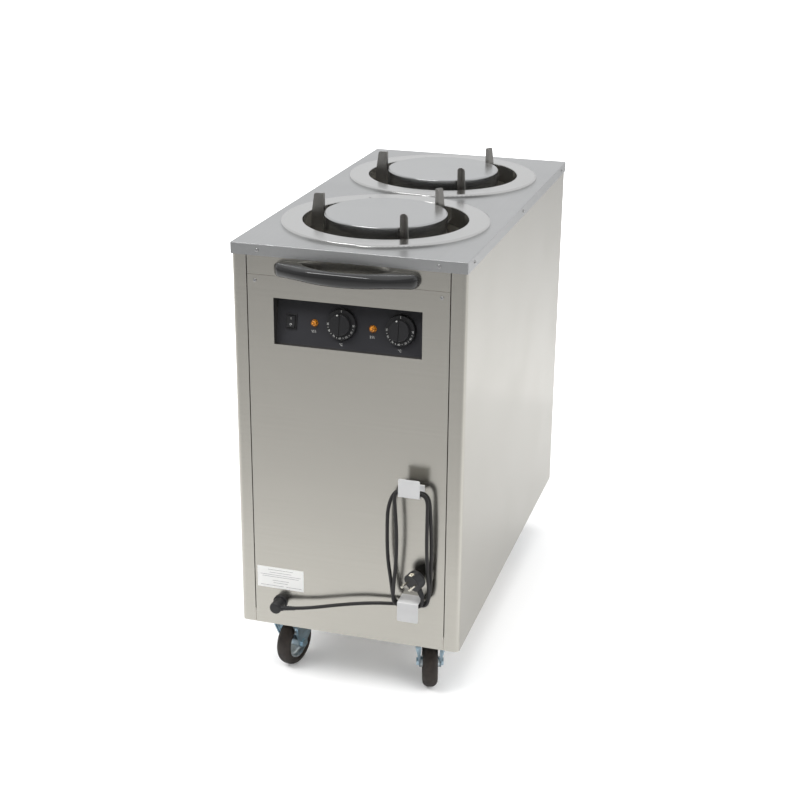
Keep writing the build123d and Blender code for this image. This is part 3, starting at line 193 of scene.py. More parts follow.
# --- shading helpers
class Tree:
    """A short way to add and link shader nodes in one node tree."""

    NOISE_MIDDLE: Span = (0.3, 0.7)

    def __init__(self, tree: bpy.types.NodeTree) -> None:
        """Keep the tree that the nodes go into."""
        self.tree = tree

    def add(self, kind: str, **settings: object) -> Node:
        """Add a node of a kind, named without ShaderNode in front, and set its properties."""
        node = self.tree.nodes.new("ShaderNode" + kind)
        for name, value in settings.items():
            setattr(node, name, value)
        return node

    def link(self, source: object, target: Socket) -> None:
        """Link a socket to an input, or set the input to a plain value."""
        if isinstance(source, Socket):
            self.tree.links.new(source, target)
        else:
            target.default_value = source

    def feed(self, node: Node, **inputs: object) -> Node:
        """Give a node's inputs, each named with _ for a space, their sockets or values."""
        for name, value in inputs.items():
            self.link(value, node.inputs[name.replace("_", " ")])
        return node

    def math(self, operation: str, first: object, second: object = 0.0) -> Socket:
        """Add a Math node on two sockets or numbers, and return its result."""
        node = self.add("Math", operation=operation)
        self.link(first, node.inputs[0])
        self.link(second, node.inputs[1])
        return node.outputs[0]

    def noise(self, vector: Socket, scale: object, detail: float = 3.0) -> Socket:
        """Add a noise texture and return its value."""
        node = self.feed(self.add("TexNoise"), Vector=vector, Scale=scale, Detail=detail)
        return node.outputs["Fac"]

    def ramp(self, value: Socket, source: Span, target: Span, style: str = "SMOOTHSTEP") -> Socket:
        """Carry a value over from a source range to a target range.

        Args:
            value: The value's socket.
            source: The range that the value comes in.
            target: The range that it is carried to.
            style: How it changes in between, as the Map Range node names it.

        Returns:
            The result's socket.
        """
        node = self.add("MapRange", interpolation_type=style)
        for socket, number in zip(node.inputs, (value, *source, *target)):
            self.link(number, socket)
        return node.outputs["Result"]

    def remap(self, value: Socket, low: float, high: float) -> Socket:
        """Spread the middle of a noise over the range from low to high."""
        return self.ramp(value, self.NOISE_MIDDLE, (low, high), "LINEAR")

    def place(self, centre: Point = (0.0, 0.0, 0.0), scale: Point = (1.0, 1.0, 1.0)) -> Socket:
        """Return object coordinates that count from a centre, each axis scaled."""
        shift = self.add("VectorMath", operation="SUBTRACT")
        self.link(self.add("TexCoord").outputs["Object"], shift.inputs[0])
        self.link(centre, shift.inputs[1])
        stretch = self.add("VectorMath", operation="MULTIPLY")
        self.link(shift.outputs[0], stretch.inputs[0])
        self.link(scale, stretch.inputs[1])
        return stretch.outputs[0]

    def axes(self, vector: Socket) -> tuple[Socket, ...]:
        """Split a vector into its X, Y and Z."""
        return tuple(self.feed(self.add("SeparateXYZ"), Vector=vector).outputs)

    def reach(self, vector: Socket) -> Socket:
        """Return a vector's length."""
        return self.feed(self.add("VectorMath", operation="LENGTH"), Vector=vector).outputs["Value"]

    def group(self, shared: bpy.types.NodeTree, **inputs: object) -> Node:
        """Place a shared effect in the tree, with its inputs as feed takes them."""
        return self.feed(self.add("Group", node_tree=shared), **inputs)


def effect_group(name: str, inputs: dict[str, str], outputs: dict[str, str]) -> tuple:
    """Start a shared effect.

    Args:
        name: The group's name.
        inputs: Each input's socket type by its name.
        outputs: Each output's socket type by its name.

    Returns:
        The group, its Tree, and its input and output nodes.
    """
    shared = bpy.data.node_groups.new(name, "ShaderNodeTree")
    for side, sockets in (("INPUT", inputs), ("OUTPUT", outputs)):
        for label, kind in sockets.items():
            shared.interface.new_socket(name=label, in_out=side, socket_type="NodeSocket" + kind)
    start = shared.nodes.new("NodeGroupInput")
    end = shared.nodes.new("NodeGroupOutput")
    return shared, Tree(shared), start, end


class Effects:
    """The effects that several finishes share, each built once."""

    def __init__(self) -> None:
        """Build every effect."""
        self.tone = self._tone()
        self.grain = self._grain()
        self.handling = self._handling()
        self.pebble = self._pebble()

    @staticmethod
    def _tone() -> bpy.types.NodeTree:
        """Return the effect that lightens and darkens a colour by a value round 1."""
        shared, tree, start, end = effect_group(
            "tone",
            {"Colour": "Color", "Gain": "Float"},
            {"Colour": "Color"},
        )
        scale = tree.add("VectorMath", operation="SCALE")
        tree.feed(scale, Vector=start.outputs["Colour"], Scale=start.outputs["Gain"])
        tree.feed(end, Colour=scale.outputs[0])
        return shared

    @staticmethod
    def _grain() -> bpy.types.NodeTree:
        """Return the brushed grain: fine strokes over broader, softer bands."""
        shared, tree, start, end = effect_group(
            "brushed_grain",
            {"Vector": "Vector", "Contrast": "Float"},
            {"Gain": "Float", "Height": "Float"},
        )
        fine_share = 0.6
        fine = tree.noise(start.outputs["Vector"], scale=1.0, detail=2.0)
        broad = tree.noise(start.outputs["Vector"], scale=0.14)
        fine_part = tree.math("MULTIPLY", fine, fine_share)
        broad_part = tree.math("MULTIPLY", broad, 1.0 - fine_share)
        mixed = tree.math("ADD", fine_part, broad_part)
        centred = tree.math("SUBTRACT", mixed, 0.5)
        swing = tree.math("MULTIPLY", centred, start.outputs["Contrast"])
        tree.feed(end, Gain=tree.math("ADD", swing, 1.0), Height=mixed)
        return shared

    @staticmethod
    def _handling() -> bpy.types.NodeTree:
        """Return the soft clouds that wiping and handling leave on a polished surface."""
        shared, tree, start, end = effect_group(
            "handling_marks",
            {"Vector": "Vector", "Low": "Float", "High": "Float"},
            {"Roughness": "Float"},
        )
        cloud = tree.noise(start.outputs["Vector"], scale=5.0, detail=4.0)
        spread = tree.remap(cloud, 0.0, 1.0)
        span = tree.math("SUBTRACT", start.outputs["High"], start.outputs["Low"])
        rise = tree.math("MULTIPLY", span, spread)
        tree.feed(end, Roughness=tree.math("ADD", start.outputs["Low"], rise))
        return shared

    @staticmethod
    def _pebble() -> bpy.types.NodeTree:
        """Return the fine pebbled skin of a moulding or a powder coat."""
        shared, tree, start, end = effect_group(
            "pebbled_skin",
            {"Vector": "Vector", "Scale": "Float"},
            {"Height": "Float"},
        )
        height = tree.noise(start.outputs["Vector"], start.outputs["Scale"], detail=2.0)
        tree.feed(end, Height=height)
        return shared


def new_material(name: str) -> tuple[Material, Tree, Node]:
    """Return a new material, its tree and its Principled shader."""
    material = bpy.data.materials.new(name)
    material.use_nodes = True
    return material, Tree(material.node_tree), material.node_tree.nodes["Principled BSDF"]


class Surface:
    """A new material with its tree and its shader, and the shared effects at hand."""

    def __init__(self, name: str, effects: Effects) -> None:
        """Make the material."""
        self.material, self.tree, self.shader = new_material(name)
        self.effects = effects

    def settle(self, **inputs: object) -> None:
        """Give the shader's inputs, each named with _ for a space, their sockets or values."""
        self.tree.feed(self.shader, **inputs)

    def tint(self, colour: Colour, gain: Socket) -> Socket:
        """Give the shader a colour that a gain round 1 changes, and return the colour's socket."""
        tone = self.tree.group(self.effects.tone, Colour=(*colour, 1.0), Gain=gain)
        self.settle(Base_Color=tone.outputs["Colour"])
        return tone.outputs["Colour"]

    def patch(self, colour: Colour, scale: float, contrast: float) -> None:
        """Give the shader a colour with soft patches of tone."""
        patches = self.tree.noise(self.tree.place(), scale)
        self.tint(colour, self.tree.remap(patches, 1.0 - contrast / 2, 1.0 + contrast / 2))

    def mark(self, smoothest: float, roughest: float) -> None:
        """Let handling marks carry the roughness from one value to the other."""
        place = self.tree.place()
        marks = self.tree.group(self.effects.handling, Vector=place, Low=smoothest, High=roughest)
        self.settle(Roughness=marks.outputs["Roughness"])

    def bump(self, height: Socket, depth: float, strength: float) -> None:
        """Feed a height, whose 1 is this deep in metres, into the shader's normal."""
        node = self.tree.add("Bump")
        self.tree.feed(node, Height=height, Distance=depth, Strength=strength)
        self.settle(Normal=node.outputs["Normal"])

    def skin(self, scale: float, depth: float, strength: float) -> None:
        """Add the relief of a fine pebbled skin."""
        pebble = self.tree.group(self.effects.pebble, Vector=self.tree.place(), Scale=scale)
        self.bump(pebble.outputs["Height"], depth, strength)


@dataclass(frozen=True)
class BrushedSteel:
    """Stainless sheet with a straight brushed grain."""

    name: str
    colour: Colour
    grain: Grain = Grain.LEVEL
    contrast: float = 0.16
    smoothest: float = 0.28
    roughest: float = 0.38
    stroke_depth: float = 0.00004
    stroke_strength: float = 0.35

    def direction(self, tree: Tree) -> Socket:
        """Return coordinates that change fast across the strokes."""
        return tree.place(scale=self.grain.value)

    def build(self, effects: Effects) -> Material:
        """Return the material."""
        surface = Surface(self.name, effects)
        direction = self.direction(surface.tree)
        strokes = surface.tree.group(effects.grain, Vector=direction, Contrast=self.contrast)
        surface.settle(Metallic=1.0)
        surface.tint(self.colour, strokes.outputs["Gain"])
        surface.mark(self.smoothest, self.roughest)
        surface.bump(strokes.outputs["Height"], self.stroke_depth, self.stroke_strength)
        return surface.material


@dataclass(frozen=True)
class SpunSteel(BrushedSteel):
    """Bright stainless with a circular grain about a well's axis."""

    contrast: float = 0.10
    smoothest: float = 0.16
    roughest: float = 0.25
    stroke_depth: float = 0.00002
    stroke_strength: float = 0.25
    ring_scale: float = 1500.0
    centre: Point = (0.0, 0.0, 0.0)

    def direction(self, tree: Tree) -> Socket:
        """Return coordinates that grow with the distance from the axis."""
        reach = tree.reach(tree.place(centre=self.centre, scale=(1.0, 1.0, 0.0)))
        ring = tree.feed(tree.add("CombineXYZ"), X=tree.math("MULTIPLY", reach, self.ring_scale))
        return ring.outputs[0]


@dataclass(frozen=True)
class PlainMetal:
    """Plated or dull metal: patches of tone, a fine skin and soft marks."""

    name: str
    colour: Colour
    patch_scale: float
    patch_contrast: float
    smoothest: float = 0.28
    roughest: float = 0.42
    metallic: float = 1.0
    skin_scale: float = 1800.0
    skin_depth: float = 0.00005
    skin_strength: float = 0.3

    def build(self, effects: Effects) -> Material:
        """Return the material."""
        surface = Surface(self.name, effects)
        surface.settle(Metallic=self.metallic)
        surface.patch(self.colour, self.patch_scale, self.patch_contrast)
        surface.mark(self.smoothest, self.roughest)
        surface.skin(self.skin_scale, self.skin_depth, self.skin_strength)
        return surface.material


@dataclass(frozen=True)
class CoilSteel:
    """Oiled spring wire: close turns along Z, with painted shade darkening the gaps between them and a
    painted highlight lightening their crests.
    """

    name: str
    colour: Colour
    pitch: float = 0.0021
    roughness: float = 0.34
    gap_shade_tone: float = 0.25
    crest_highlight_tone: float = 1.15
    turn_depth: float = 0.0006

    def build(self, effects: Effects) -> Material:
        """Return the material."""
        surface = Surface(self.name, effects)
        tree = surface.tree
        _, _, along = tree.axes(tree.place())
        turn = tree.math("SINE", tree.math("MULTIPLY", along, 2 * pi / self.pitch))
        height = tree.math("ADD", tree.math("MULTIPLY", turn, 0.5), 0.5)
        # Painted shade in the gaps between the turns, painted highlight on their crests.
        rise = tree.math("MULTIPLY", height, self.crest_highlight_tone - self.gap_shade_tone)
        surface.settle(Metallic=1.0, Roughness=self.roughness)
        surface.tint(self.colour, tree.math("ADD", rise, self.gap_shade_tone))
        surface.bump(height, self.turn_depth, strength=1.0)
        return surface.material


@dataclass(frozen=True)
class Moulding:
    """Plastic, rubber, paint or film: a pebbled skin with slight changes of tone."""

    name: str
    colour: Colour
    smoothest: float
    roughest: float
    skin_scale: float = 1600.0
    skin_depth: float = 0.00004
    skin_strength: float = 0.5
    tone_scale: float = 14.0
    tone_contrast: float = 0.16
    coat: float = 0.0
    coat_roughness: float = 0.08
    specular: float = 0.5

    def build(self, effects: Effects) -> Material:
        """Return the material."""
        surface = Surface(self.name, effects)
        surface.settle(
            Coat_Weight=self.coat,
            Coat_Roughness=self.coat_roughness,
            Specular_IOR_Level=self.specular,
        )
        surface.patch(self.colour, self.tone_scale, self.tone_contrast)
        surface.mark(self.smoothest, self.roughest)
        surface.skin(self.skin_scale, self.skin_depth, self.skin_strength)
        return surface.material


@dataclass(frozen=True)
class LampLens:
    """Ribbed amber plastic that glows a little from inside; painted shading makes each rib lighter in its
    middle and darker at its edges, and painted shade darkens the rim.
    """

    name: str
    colour: Colour
    glow: float = 0.25
    roughness: float = 0.10
    rib_scale: float = 420.0
    rib_middle_sheen: float = 1.5
    rib_edge_shade: float = 1.6
    rim_shade_fall: float = 0.9
    darkest: float = 0.12
    rib_depth: float = 0.0004
    rib_strength: float = 0.5

    def build(self, effects: Effects) -> Material:
        """Return the material."""
        surface = Surface(self.name, effects)
        tree = surface.tree
        cells = tree.feed(tree.add("TexVoronoi"), Vector=tree.place(), Scale=self.rib_scale)
        # Painted shading of the ribs: lighter in each rib's middle, darker towards its edges.
        rib_shade = tree.math("MULTIPLY", cells.outputs["Distance"], self.rib_edge_shade)
        # Painted shade: darker where the lens turns away from view, at its rim.
        rim = tree.feed(tree.add("LayerWeight"), Blend=0.5)
        shade = tree.math("MULTIPLY", rim.outputs["Facing"], self.rim_shade_fall)
        gain = tree.math("SUBTRACT", tree.math("SUBTRACT", self.rib_middle_sheen, rib_shade), shade)
        glowing = surface.tint(self.colour, tree.math("MAXIMUM", gain, self.darkest))
        surface.settle(
            Roughness=self.roughness,
            Coat_Weight=1.0,
            Emission_Color=glowing,
            Emission_Strength=self.glow,
        )
        surface.bump(cells.outputs["Distance"], self.rib_depth, self.rib_strength)
        return surface.material


class Palette:
    """Every finish of the cart, each material built once."""

    def __init__(self, well_centres: dict[Well, Point]) -> None:
        """Build the materials, with the circular grain about the wells' centres."""
        effects = Effects()
        self._build_steels(effects, well_centres)
        self._build_plated(effects)
        self._build_mouldings(effects)
        self.amber = LampLens("amber_lens", (0.78, 0.28, 0.02)).build(effects)

    def _build_steels(self, effects: Effects, well_centres: dict[Well, Point]) -> None:
        """Build the stainless finishes."""
        self.casing = BrushedSteel(
            "casing_steel", (0.605, 0.585, 0.53), contrast=0.22, smoothest=0.19, roughest=0.26
        ).build(effects)
        self.deck = BrushedSteel("deck_steel", (0.57, 0.575, 0.575), Grain.LENGTHWISE).build(effects)
        self.guide = BrushedSteel("guide_steel", (0.40, 0.39, 0.37), contrast=0.3).build(effects)
        self.inner = PlainMetal(
            "well_steel", (0.68, 0.65, 0.59), 25.0, 0.12, metallic=0.65
        ).build(effects)
        self.collar = {
            well: SpunSteel(
                f"collar_steel_{well.value}", (0.66, 0.66, 0.65), centre=centre
            ).build(effects)
            for well, centre in well_centres.items()
        }
        self.platform = {
            well: SpunSteel(
                f"platform_steel_{well.value}", (0.56, 0.565, 0.565), centre=centre
            ).build(effects)
            for well, centre in well_centres.items()
        }

    def _build_plated(self, effects: Effects) -> None:
        """Build the plated and oiled metals of the fastenings, springs, heaters and casters."""
        self.screw = PlainMetal(
            "bright_screw", (0.58, 0.58, 0.57), 900.0, 0.2, smoothest=0.15, roughest=0.26
        ).build(effects)
        self.nickel = PlainMetal(
            "nickel_pins", (0.83, 0.80, 0.70), 700.0, 0.2, smoothest=0.15, roughest=0.26
        ).build(effects)
        self.sheath = PlainMetal(
            "heat_tinted_sheath", (0.16, 0.14, 0.13), 40.0, 0.6, smoothest=0.4, roughest=0.6
        ).build(effects)
        self.zinc = PlainMetal("bright_zinc", (0.48, 0.62, 0.71), 45.0, 0.4).build(effects)
        self.pale_zinc = PlainMetal("pale_zinc", (0.80, 0.87, 0.91), 70.0, 0.3).build(effects)
        self.spring = CoilSteel("coiled_spring", (0.42, 0.42, 0.44)).build(effects)

    def _build_mouldings(self, effects: Effects) -> None:
        """Build the plastics, the rubbers, the paint, the film and the inks."""
        self.gloss = Moulding(
            "gloss_black", (0.008, 0.008, 0.008), 0.06, 0.10, skin_depth=0.000003, coat=1.0
        ).build(effects)
        self.knob = Moulding("knob_black", (0.016, 0.016, 0.017), 0.30, 0.42).build(effects)
        self.satin = Moulding("satin_black", (0.018, 0.018, 0.019), 0.34, 0.48).build(effects)
        self.fascia = Moulding(
            "charcoal_fascia", (0.032, 0.032, 0.036), 0.42, 0.55, skin_scale=2600.0, specular=0.3
        ).build(effects)
        self.hook = Moulding(
            "pale_powder_coat", (0.61, 0.61, 0.61), 0.30, 0.42, skin_scale=700.0, skin_depth=0.0001
        ).build(effects)
        self.cord = Moulding(
            "cord_rubber", (0.014, 0.013, 0.013), 0.34, 0.46, skin_scale=900.0, skin_depth=0.0001
        ).build(effects)
        self.tyre = Moulding(
            "tyre_rubber",
            (0.028, 0.021, 0.017),
            0.50,
            0.72,
            skin_scale=500.0,
            skin_depth=0.0003,
            tone_scale=60.0,
            tone_contrast=0.6,
        ).build(effects)
        self.film = Moulding(
            "label_film", (0.88, 0.88, 0.86), 0.40, 0.52, tone_contrast=0.05
        ).build(effects)
        self.ink = Moulding(
            "white_ink", (0.64, 0.64, 0.62), 0.45, 0.55, tone_contrast=0.1
        ).build(effects)
        # Grey for the label's printed rules, and also painted shade for the screws' cross recess.
        self.print = Moulding(
            "grey_print_and_recess_shade", (0.22, 0.22, 0.23), 0.5, 0.6, tone_contrast=0.2
        ).build(effects)


def dress(piece: Piece, material: Material) -> None:
    """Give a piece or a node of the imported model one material."""
    piece.data.materials.clear()
    piece.data.materials.append(material)


def dress_nodes(nodes: Nodes, finishes: dict[str, Material]) -> None:
    """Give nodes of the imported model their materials, by the nodes' names."""
    for name, material in finishes.items():
        dress(nodes[name], material)


# --- studio
@dataclass(frozen=True)
class Lamp:
    """A soft rectangular lamp, with its width and height, that faces the cart."""

    name: str
    place: Point
    size: Span
    power: float
    in_reflections: bool = False
    aim: Point = (0.0, 0.0, 0.6)

    def build(self) -> None:
        """Hang the lamp."""
        data = bpy.data.lights.new(self.name, "AREA")
        data.shape = "RECTANGLE"
        data.size, data.size_y = self.size
        data.energy = self.power
        lamp = bpy.data.objects.new(self.name, data)
        turn = (Vector(self.aim) - Vector(self.place)).to_track_quat("-Z", "Y")
        lamp.matrix_world = Matrix.Translation(self.place) @ turn.to_matrix().to_4x4()
        lamp.visible_glossy = self.in_reflections
        bpy.context.scene.collection.objects.link(lamp)


@dataclass
class Studio:
    """The camera, the floor, the room and the lamps.

    A field that ends in span says between which values a tone goes over into the next one: of
    metres on the floor, and of the direction's Y or Z in the room.
    """

    lens: float = 68.535
    sensor: float = 36.0
    sight: float = 100.0
    position: Point = (0.8465, -2.9189, 1.6282)
    yaw: float = 16.595
    pitch: float = 20.877
    roll: float = 0.505
    floor_half: float = 30.0
    floor_white: float = 0.86
    floor_front: Span = (0.375, 0.69)
    floor_front_span: Span = (-1.75, -0.1)
    floor_back: Span = (0.91, 1.0)
    floor_back_span: Span = (1.25, 1.35)
    floor_glow: Span = (0.16, 1.2)
    floor_glow_span: Span = (0.7, 1.7)
    room: Span = (0.30, 0.78)
    room_back_span: Span = (-0.75, 0.15)
    room_top_span: Span = (0.35, 0.85)
    room_tint: Colour = (0.985, 0.99, 1.0)
    sky: float = 1.1
    lamps: tuple[Lamp, ...] = (
        Lamp("key_softbox", (-2.2, -1.6, 3.2), (2.2, 2.2), 90.0),
        Lamp("fill_softbox", (2.6, -1.4, 2.6), (2.0, 2.0), 55.0),
        Lamp("top_softbox", (0.0, 0.6, 3.6), (2.6, 2.6), 75.0),
        Lamp("strip_light", (-0.9, -2.0, 2.9), (2.4, 0.3), 20.0, in_reflections=True),
    )

    def set_camera(self) -> None:
        """Place the camera at the photograph's viewpoint."""
        turn = radians(self.yaw)
        tilt = radians(self.pitch)
        spin = radians(self.roll)
        back = Vector((sin(turn) * cos(tilt), -cos(turn) * cos(tilt), sin(tilt)))
        level = Vector((cos(turn), sin(turn), 0.0))
        upright = back.cross(level)
        across = level * cos(spin) + upright * sin(spin)
        data = bpy.data.cameras.new("photo_camera")
        data.lens = self.lens
        data.sensor_width = self.sensor
        data.clip_end = self.sight
        camera = bpy.data.objects.new("photo_camera", data)
        camera.matrix_world = plane_frame(Vector(self.position), across, back)
        bpy.context.scene.collection.objects.link(camera)
        bpy.context.scene.camera = camera

    def floor_material(self) -> Material:
        """Return the pale floor: white to the eye, dimmer in reflections towards the dark front."""
        material, tree, shader = new_material("pale_floor")
        spot = tree.place()
        _, forward, _ = tree.axes(spot)
        to_eye = tree.add("LightPath").outputs["Is Camera Ray"]
        front = tree.ramp(forward, self.floor_front_span, self.floor_front)
        back = tree.ramp(forward, self.floor_back_span, self.floor_back)
        mirrored = tree.math("MULTIPLY", front, back)
        seen = tree.math("MULTIPLY", to_eye, self.floor_white)
        spread = tree.ramp(tree.reach(spot), self.floor_glow_span, self.floor_glow)
        tree.feed(
            shader,
            Base_Color=tree.math("MAXIMUM", seen, mirrored),
            Roughness=1.0,
            Specular_IOR_Level=0.1,
            Emission_Color=(1.0, 1.0, 1.0, 1.0),
            Emission_Strength=tree.math("MULTIPLY", to_eye, spread),
        )
        return material

    def build_floor(self) -> None:
        """Lay the floor."""
        work = bmesh.new()
        bmesh.ops.create_grid(work, x_segments=8, y_segments=8, size=self.floor_half)
        floor = mesh_piece("studio_floor", work)
        dress(floor, self.floor_material())

    def set_world(self) -> None:
        """Light the scene with a pale room, darker in front, that is white to the camera."""
        world = bpy.data.worlds.new("pale_room")
        bpy.context.scene.world = world
        world.use_nodes = True
        tree = Tree(world.node_tree)
        _, forward, up = tree.axes(tree.add("TexCoord").outputs["Generated"])
        toward_back = tree.ramp(forward, self.room_back_span, (0.0, 1.0))
        overhead = tree.ramp(up, self.room_top_span, (0.0, 1.0))
        lit = tree.math("MAXIMUM", toward_back, overhead)
        room = tree.ramp(lit, (0.0, 1.0), self.room)
        to_eye = tree.add("LightPath").outputs["Is Camera Ray"]
        white = tree.math("MULTIPLY", to_eye, self.sky)
        tree.feed(
            world.node_tree.nodes["Background"],
            Color=(*self.room_tint, 1.0),
            Strength=tree.math("MAXIMUM", white, room),
        )

    def build(self) -> None:
        """Set the view and make the camera, the floor, the room and the lamps."""
        bpy.context.scene.view_settings.view_transform = "Standard"
        self.set_camera()
        self.build_floor()
        self.set_world()
        for lamp in self.lamps:
            lamp.build()
        LOG.info("studio with %d lamps", len(self.lamps))


# --- the cord
@dataclass
class PanelFrame:
    """Places measured on the front panel: across, out from the panel and down from the deck."""

    front: float
    deck: float

    def at(self, x: float, out: float, drop: float) -> Vector:
        """Return the point in the cart's frame."""
        return Vector((x, self.front - out, self.deck - drop))


@dataclass
class MainsCord:
    """The wound mains cord with its tapered sleeve and its plug."""

    radius: float = 0.0035
    length: float = 1.47
    sleeve_length: float = 0.028
    sleeve_root: float = 0.0056
    sleeve_tip: float = 0.0043
    sleeve_start: Point = (-0.132, 0.025, 0.727)
    sleeve_aim: Point = (-0.104, 0.0243, 0.7238)
    rings: int = 5
    groove_depth: float = 0.0007
    groove_start: float = 0.0008
    groove_end: float = 0.0030

    @staticmethod
    def route() -> list[Point]:
        """Return the cord's points as (x, reach in front of the panel, drop below the deck)."""
        low = 0.6759
        return [
            (-0.126, 0.025, 0.727), (-0.110, 0.0245, 0.7245), (-0.072, 0.0225, 0.7185),
            (-0.016, 0.021, 0.7035), (0.030, 0.0195, 0.693), (0.070, 0.0155, 0.6875),
            (0.116, 0.0135, 0.6835), (0.163, 0.012, low + 0.0030), (0.1695, 0.0138, 0.647),
            (0.1705, 0.0158, 0.600), (0.1710, 0.0176, 0.548), (0.1695, 0.0195, 0.495),
            (0.1660, 0.0205, 0.441), (0.132, 0.0205, 0.4443), (0.1010, 0.0205, 0.441),
            (0.0858, 0.0205, 0.478), (0.0848, 0.0205, 0.529), (0.086, 0.0205, 0.585),
            (0.0935, 0.0205, 0.635), (0.0990, 0.0205, low + 0.0038), (0.131, 0.0205, low - 0.0004),
            (0.1650, 0.0205, low + 0.0038), (0.1693, 0.0218, 0.647), (0.1656, 0.0242, 0.600),
            (0.164, 0.0258, 0.548), (0.1648, 0.0272, 0.495), (0.1655, 0.0282, 0.441),
            (0.132, 0.0282, 0.4443), (0.0995, 0.0282, 0.441), (0.1030, 0.0282, 0.483),
            (0.1060, 0.0282, 0.533), (0.1055, 0.0282, 0.585), (0.1010, 0.0282, 0.634),
            (0.0985, 0.0282, low + 0.0042), (0.130, 0.0282, low - 0.0004), (0.1610, 0.0282, low + 0.0016),
            (0.157, 0.0282, 0.654),
        ]

    def build_cord(self, place: PanelFrame, palette: Palette) -> Piece:
        """Return the cord as one smooth spline."""
        data = bpy.data.curves.new("power_cord", "CURVE")
        data.dimensions = "3D"
        data.bevel_depth = self.radius
        data.bevel_resolution = 5
        data.resolution_u = 10
        data.use_fill_caps = True
        spline = data.splines.new("NURBS")
        points = self.route()
        spline.points.add(len(points) - 1)
        for knot, point in zip(spline.points, points):
            knot.co = (*place.at(*point), 1.0)
        spline.order_u = 3
        spline.use_endpoint_u = True
        cord = bpy.data.objects.new("power_cord", data)
        bpy.context.scene.collection.objects.link(cord)
        dress(cord, palette.cord)
        return cord

    def build_sleeve(self, place: PanelFrame, palette: Palette) -> Piece:
        """Return the tapered, ringed sleeve where the cord leaves the gland."""
        outline = []
        for step in range(self.rings + 1):
            along = step / self.rings
            reach = along * self.sleeve_length
            radius = self.sleeve_root + (self.sleeve_tip - self.sleeve_root) * along
            outline.append((radius, reach))
            outline.append((radius - self.groove_depth, reach + self.groove_start))
            outline.append((radius - self.groove_depth, reach + self.groove_end))
        start = place.at(*self.sleeve_start)
        out = (place.at(*self.sleeve_aim) - start).normalized()
        across = out.cross(Vector((0.0, 0.0, 1.0))).normalized()
        sleeve = spun_piece("cord_sleeve", outline, plane_frame(start, across, out), steps=48)
        dress(sleeve, palette.satin)
        return sleeve

    def build(self, place: PanelFrame, palette: Palette, nodes: Nodes) -> None:
        """Make the cord and dress what hangs on it."""
        cord = self.build_cord(place, palette)
        sleeve = self.build_sleeve(place, palette)
        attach(cord, CABINET)
        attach(sleeve, CABINET)
        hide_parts("power_cord_lead", "power_cord_hank")
        dress(nodes["plug_body"], palette.satin)
        dress(nodes["plug_pins"], palette.nickel)
        LOG.info("mains cord with %d route points", len(self.route()))


